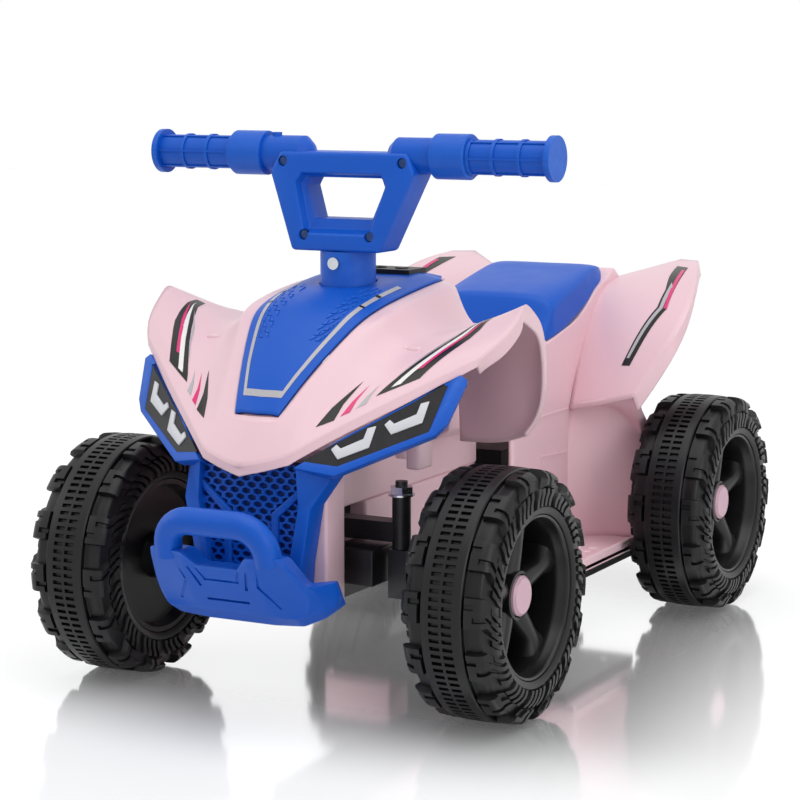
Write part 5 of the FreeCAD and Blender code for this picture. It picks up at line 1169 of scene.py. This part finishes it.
def addHeadlights():
    yaw = Matrix.Rotation(math.radians(headlight["yaw"]), 4, "Z")
    tilt = Matrix.Rotation(math.radians(headlight["tilt"]), 4, "X")
    place = Matrix.Translation(millimetres(*headlight["origin"])) @ yaw @ tilt
    for side, sign in sides:
        node = "headlight_frame_" + side
        bm = cadCopy(node, headlight["flatTurn"])
        softened(bm, headlight["round"])
        addPiece(side + "LampFrame", bm, *blue, sharp=30, stands=[node])
        bm = bmesh.new()
        for number in (0, 1):
            across, up = (number * each for each in headlight["step"])
            corners = [millimetres(x + across, y + up, headlight["barFoot"]) for x, y in headlight["bar"]]
            addSlab(bm, corners, millimetres(0, 0, headlight["barRise"]))
        softened(bm, headlight["barRound"], headlight["barSegments"])
        bmesh.ops.transform(bm, matrix=place, verts=bm.verts)
        addPiece(side + "LampBars", mirroredTo(bm, sign), "lampGrey", "dark_grey_plastic", sharp=30)
    print("headlights done")


# Bosses under the hood that stand over the kingpins, and dark brackets from the tray up to the beam
kingpinBoss = {
    "bosses": [((87, -190, 190), (99, -166, 288), 2), ((77, -190, 198), (88, -168, 288), 2)],
    "brackets": [((36, -222, 99), (74.5, -184, 129), 2)],
}


def addKingpinBosses():
    bm = bmesh.new()
    addTwinBoxes(bm, kingpinBoss["bosses"])
    addPiece("kingpinBosses", bm, *pink, sharp=40)
    bm = bmesh.new()
    addTwinBoxes(bm, kingpinBoss["brackets"])
    addPiece("beamBrackets", bm, "blackPlastic", "black_plastic", sharp=40)
    print("bosses done")


# Tyres: one lug's sector, spun round. Profile stations are across and radius.
tyre = {
    "sectors": 14, "rows": 14, "lean": 0.012, "leanFrom": 92, "leanReach": 16, "seam": 0.05,
    "profile": [(0, 100), (1.2, 100), (9.6, 99.9), (11.2, 99.8), (16.2, 99.4), (17.2, 98.4), (17.4, 94.6),
                (18.4, 94.2), (21, 94.2), (23.8, 94.2), (26.4, 94.1), (28.4, 93.8), (30, 92.8),
                (31, 90.8), (31.8, 88), (33.6, 84.5), (35.4, 81), (35.8, 77.5), (36, 74), (35.9, 71.4),
                (36.8, 70.8), (36.4, 67.8), (35, 65.4), (33, 64.8)],
    # relief on a sector: its bounds across and in radius, its rows, its inset and rise
    "slots": {"across": (1.2, 9.6), "radius": (90, math.inf), "rows": range(0, 14, 2),
              "inset": 0.35, "rise": -2.6},
    "ribs": {"across": (30, math.inf), "radius": (72, 86), "rows": (1, 2, 4, 5, 7, 8, 10, 11),
             "inset": 0.5, "rise": 2.4},
    "lugs": {"across": (18.4, math.inf), "radius": (86, math.inf), "rows": range(1, 9),
             "inset": 0.6, "rise": 2.9},
    # a lug's higher hook is where its row and profile station have a 2
    "hooks": {"stations": slice(7, 14), "inset": 0.5, "rise": 2.2},
    "hook": ["2222221", "2222221", "1112221", "2222222", "2222222", "2221111", "2222222", "2222222"],
}


def tyreMesh():
    bm = bmesh.new()
    half = tyre["profile"]
    loop = [(-x, r) for x, r in reversed(half[1:])] + half
    verts, ring = addLoop(bm, [millimetres(x, 0, r) for x, r in loop])
    sectors = tyre["sectors"]
    spinRound(bm, verts + ring, 1 / sectors, tyre["rows"])
    outward(bm)
    outer = max(bm.faces, key=lambda face: face.calc_center_median().yz.length)
    if outer.normal.dot(Vector((0, *outer.calc_center_median().yz))) < 0:
        bmesh.ops.reverse_faces(bm, faces=bm.faces)
    spots = {}
    for face in bm.faces:
        middle = face.calc_center_median()
        share = math.atan2(-middle.y, middle.z) / (2 * math.pi) % 1
        spots[face] = (int(share * sectors * tyre["rows"]), abs(middle.x) / mm, middle.yz.length / mm)
    addTread(bm, spots)
    for vert in bm.verts:
        low = max(0, tyre["leanFrom"] - vert.co.yz.length / mm)
        vert.co.rotate(Matrix.Rotation(tyre["lean"] * min(low, tyre["leanReach"]), 3, "X"))
    geometry = bm.verts[:] + bm.edges[:] + bm.faces[:]
    spinRound(bm, geometry, 1 - 1 / sectors, sectors - 1, use_duplicate=True)
    bmesh.ops.remove_doubles(bm, verts=bm.verts, dist=tyre["seam"] * mm)
    return bm


# Whether a spot on a lug belongs to its hook
def hooked(row, x):
    stations = [across for across, radius in tyre["profile"][tyre["hooks"]["stations"]]]
    column = sum(x > station for station in stations) - 1
    return tyre["hook"][row - tyre["lugs"]["rows"].start][column] == "2"


def addTread(bm, spots):
    chosen = {}
    for kind in ("slots", "ribs", "lugs"):
        relief = tyre[kind]
        chosen[kind] = [face for face, (row, x, radius) in spots.items() if row in relief["rows"]
                        and relief["across"][0] < x < relief["across"][1]
                        and relief["radius"][0] < radius < relief["radius"][1]]
    chosen["hooks"] = [face for face in chosen["lugs"] if hooked(*spots[face][:2])]
    for kind, faces in chosen.items():
        bmesh.ops.inset_region(bm, faces=faces, thickness=tyre[kind]["inset"] * mm,
                               depth=tyre[kind]["rise"] * mm, use_even_offset=True, use_boundary=True)


# Rims: a spun dish with a raised hub and five roof-shaped spokes that flare into the barrel
rim = {
    "spokes": 5, "steps": 60,
    "dish": [(-34, 5.1), (2, 5.1), (2, 13), (5.4, 13), (5.8, 16.4), (19.4, 16.6), (20.2, 17.4),
             (19.6, 19.4), (6, 21.5), (-17, 24), (-20, 27), (-20, 52), (-17, 55.4), (-4, 57.2),
             (22, 59.6), (26, 60.2), (28, 61.4), (31.6, 61.8), (33.4, 62.6), (34, 63.6), (34, 64.5),
             (-34, 64.5), (-34, 60.5), (-25, 57), (-24, 20), (-34, 18)],
    "spokeCells": (10, 14), "root": 17.5, "tip": 59.4, "rootHalf": 12.5, "waistHalf": 11, "waistRate": 1.8,
    "flare": 9, "flareFrom": 0.55, "footSpread": 2.5, "spreadPower": 4,
    "ridgeRoot": 18.5, "ridgeTip": 23, "ridgePower": 0.8, "foot": -17, "crown": 0.24, "flankPower": 9,
}


# A point of the spoke, from its place across, -1 to 1, and along, 0 to 1
def spokePoint(across, along):
    out = abs(across)
    half = rim["rootHalf"] + (rim["waistHalf"] - rim["rootHalf"]) * min(1, along * rim["waistRate"])
    half += rim["flare"] * max(0, (along - rim["flareFrom"]) / (1 - rim["flareFrom"])) ** 2
    half += rim["footSpread"] * out ** rim["spreadPower"]
    ridge = rim["ridgeRoot"] + (rim["ridgeTip"] - rim["ridgeRoot"]) * along ** rim["ridgePower"]
    flank = rim["crown"] * out ** 2 + (1 - rim["crown"]) * out ** rim["flankPower"]
    x = ridge + (rim["foot"] - ridge) * flank
    return millimetres(x, across * half, rim["root"] + (rim["tip"] - rim["root"]) * along)


def rimMesh():
    bm = spunAlongX(rim["dish"], rim["steps"])
    wide, long = rim["spokeCells"]
    made = bmesh.ops.create_grid(bm, x_segments=wide, y_segments=long, size=1)["verts"]
    for vert in made:
        vert.co = spokePoint(vert.co.x, (vert.co.y + 1) / 2)
    spoke = list({face for vert in made for face in vert.link_faces})
    bmesh.ops.recalc_face_normals(bm, faces=spoke)
    top = max(spoke, key=lambda face: face.calc_center_median().x)
    if top.normal.x < 0:
        bmesh.ops.reverse_faces(bm, faces=spoke)
    geometry = made + list({edge for vert in made for edge in vert.link_edges}) + spoke
    spinRound(bm, geometry, 1 - 1 / rim["spokes"], rim["spokes"] - 1, use_duplicate=True)
    return bm


# Wheels: how far out, how high and where along the bike they sit
wheelSeats = {"half": 171, "height": 100, "front": -197, "rear": 250}


def addWheels():
    for kind, maker, look, slot, sharp in (("tyre", tyreMesh, "blackTyre", "black_tyre", 32),
                                           ("rim", rimMesh, "blackRim", "black_rim", 28)):
        plain = maker()
        for end in ("front", "rear"):
            for side, sign in sides:
                bm = turnedTo(plain.copy(), sign)
                seatSpot = millimetres(sign * wheelSeats["half"], wheelSeats[end], wheelSeats["height"])
                bmesh.ops.translate(bm, vec=seatSpot, verts=bm.verts)
                addPiece(f"{end}{side.title()}{kind.title()}", bm, look, slot, sharp,
                         [f"{kind}_{end}_{side}"], f"wheel_{end}_{side}")
        plain.free()
    print("wheels done")


addCamera()
addStudio()
mixFinishes()
dressNodes()
addHood()
addInsert()
addSeat()
addBody()
addCowl()
addWings()
addHandlebar()
addBumper()
addGrille()
addHeadlights()
addKingpinBosses()
addWheels()
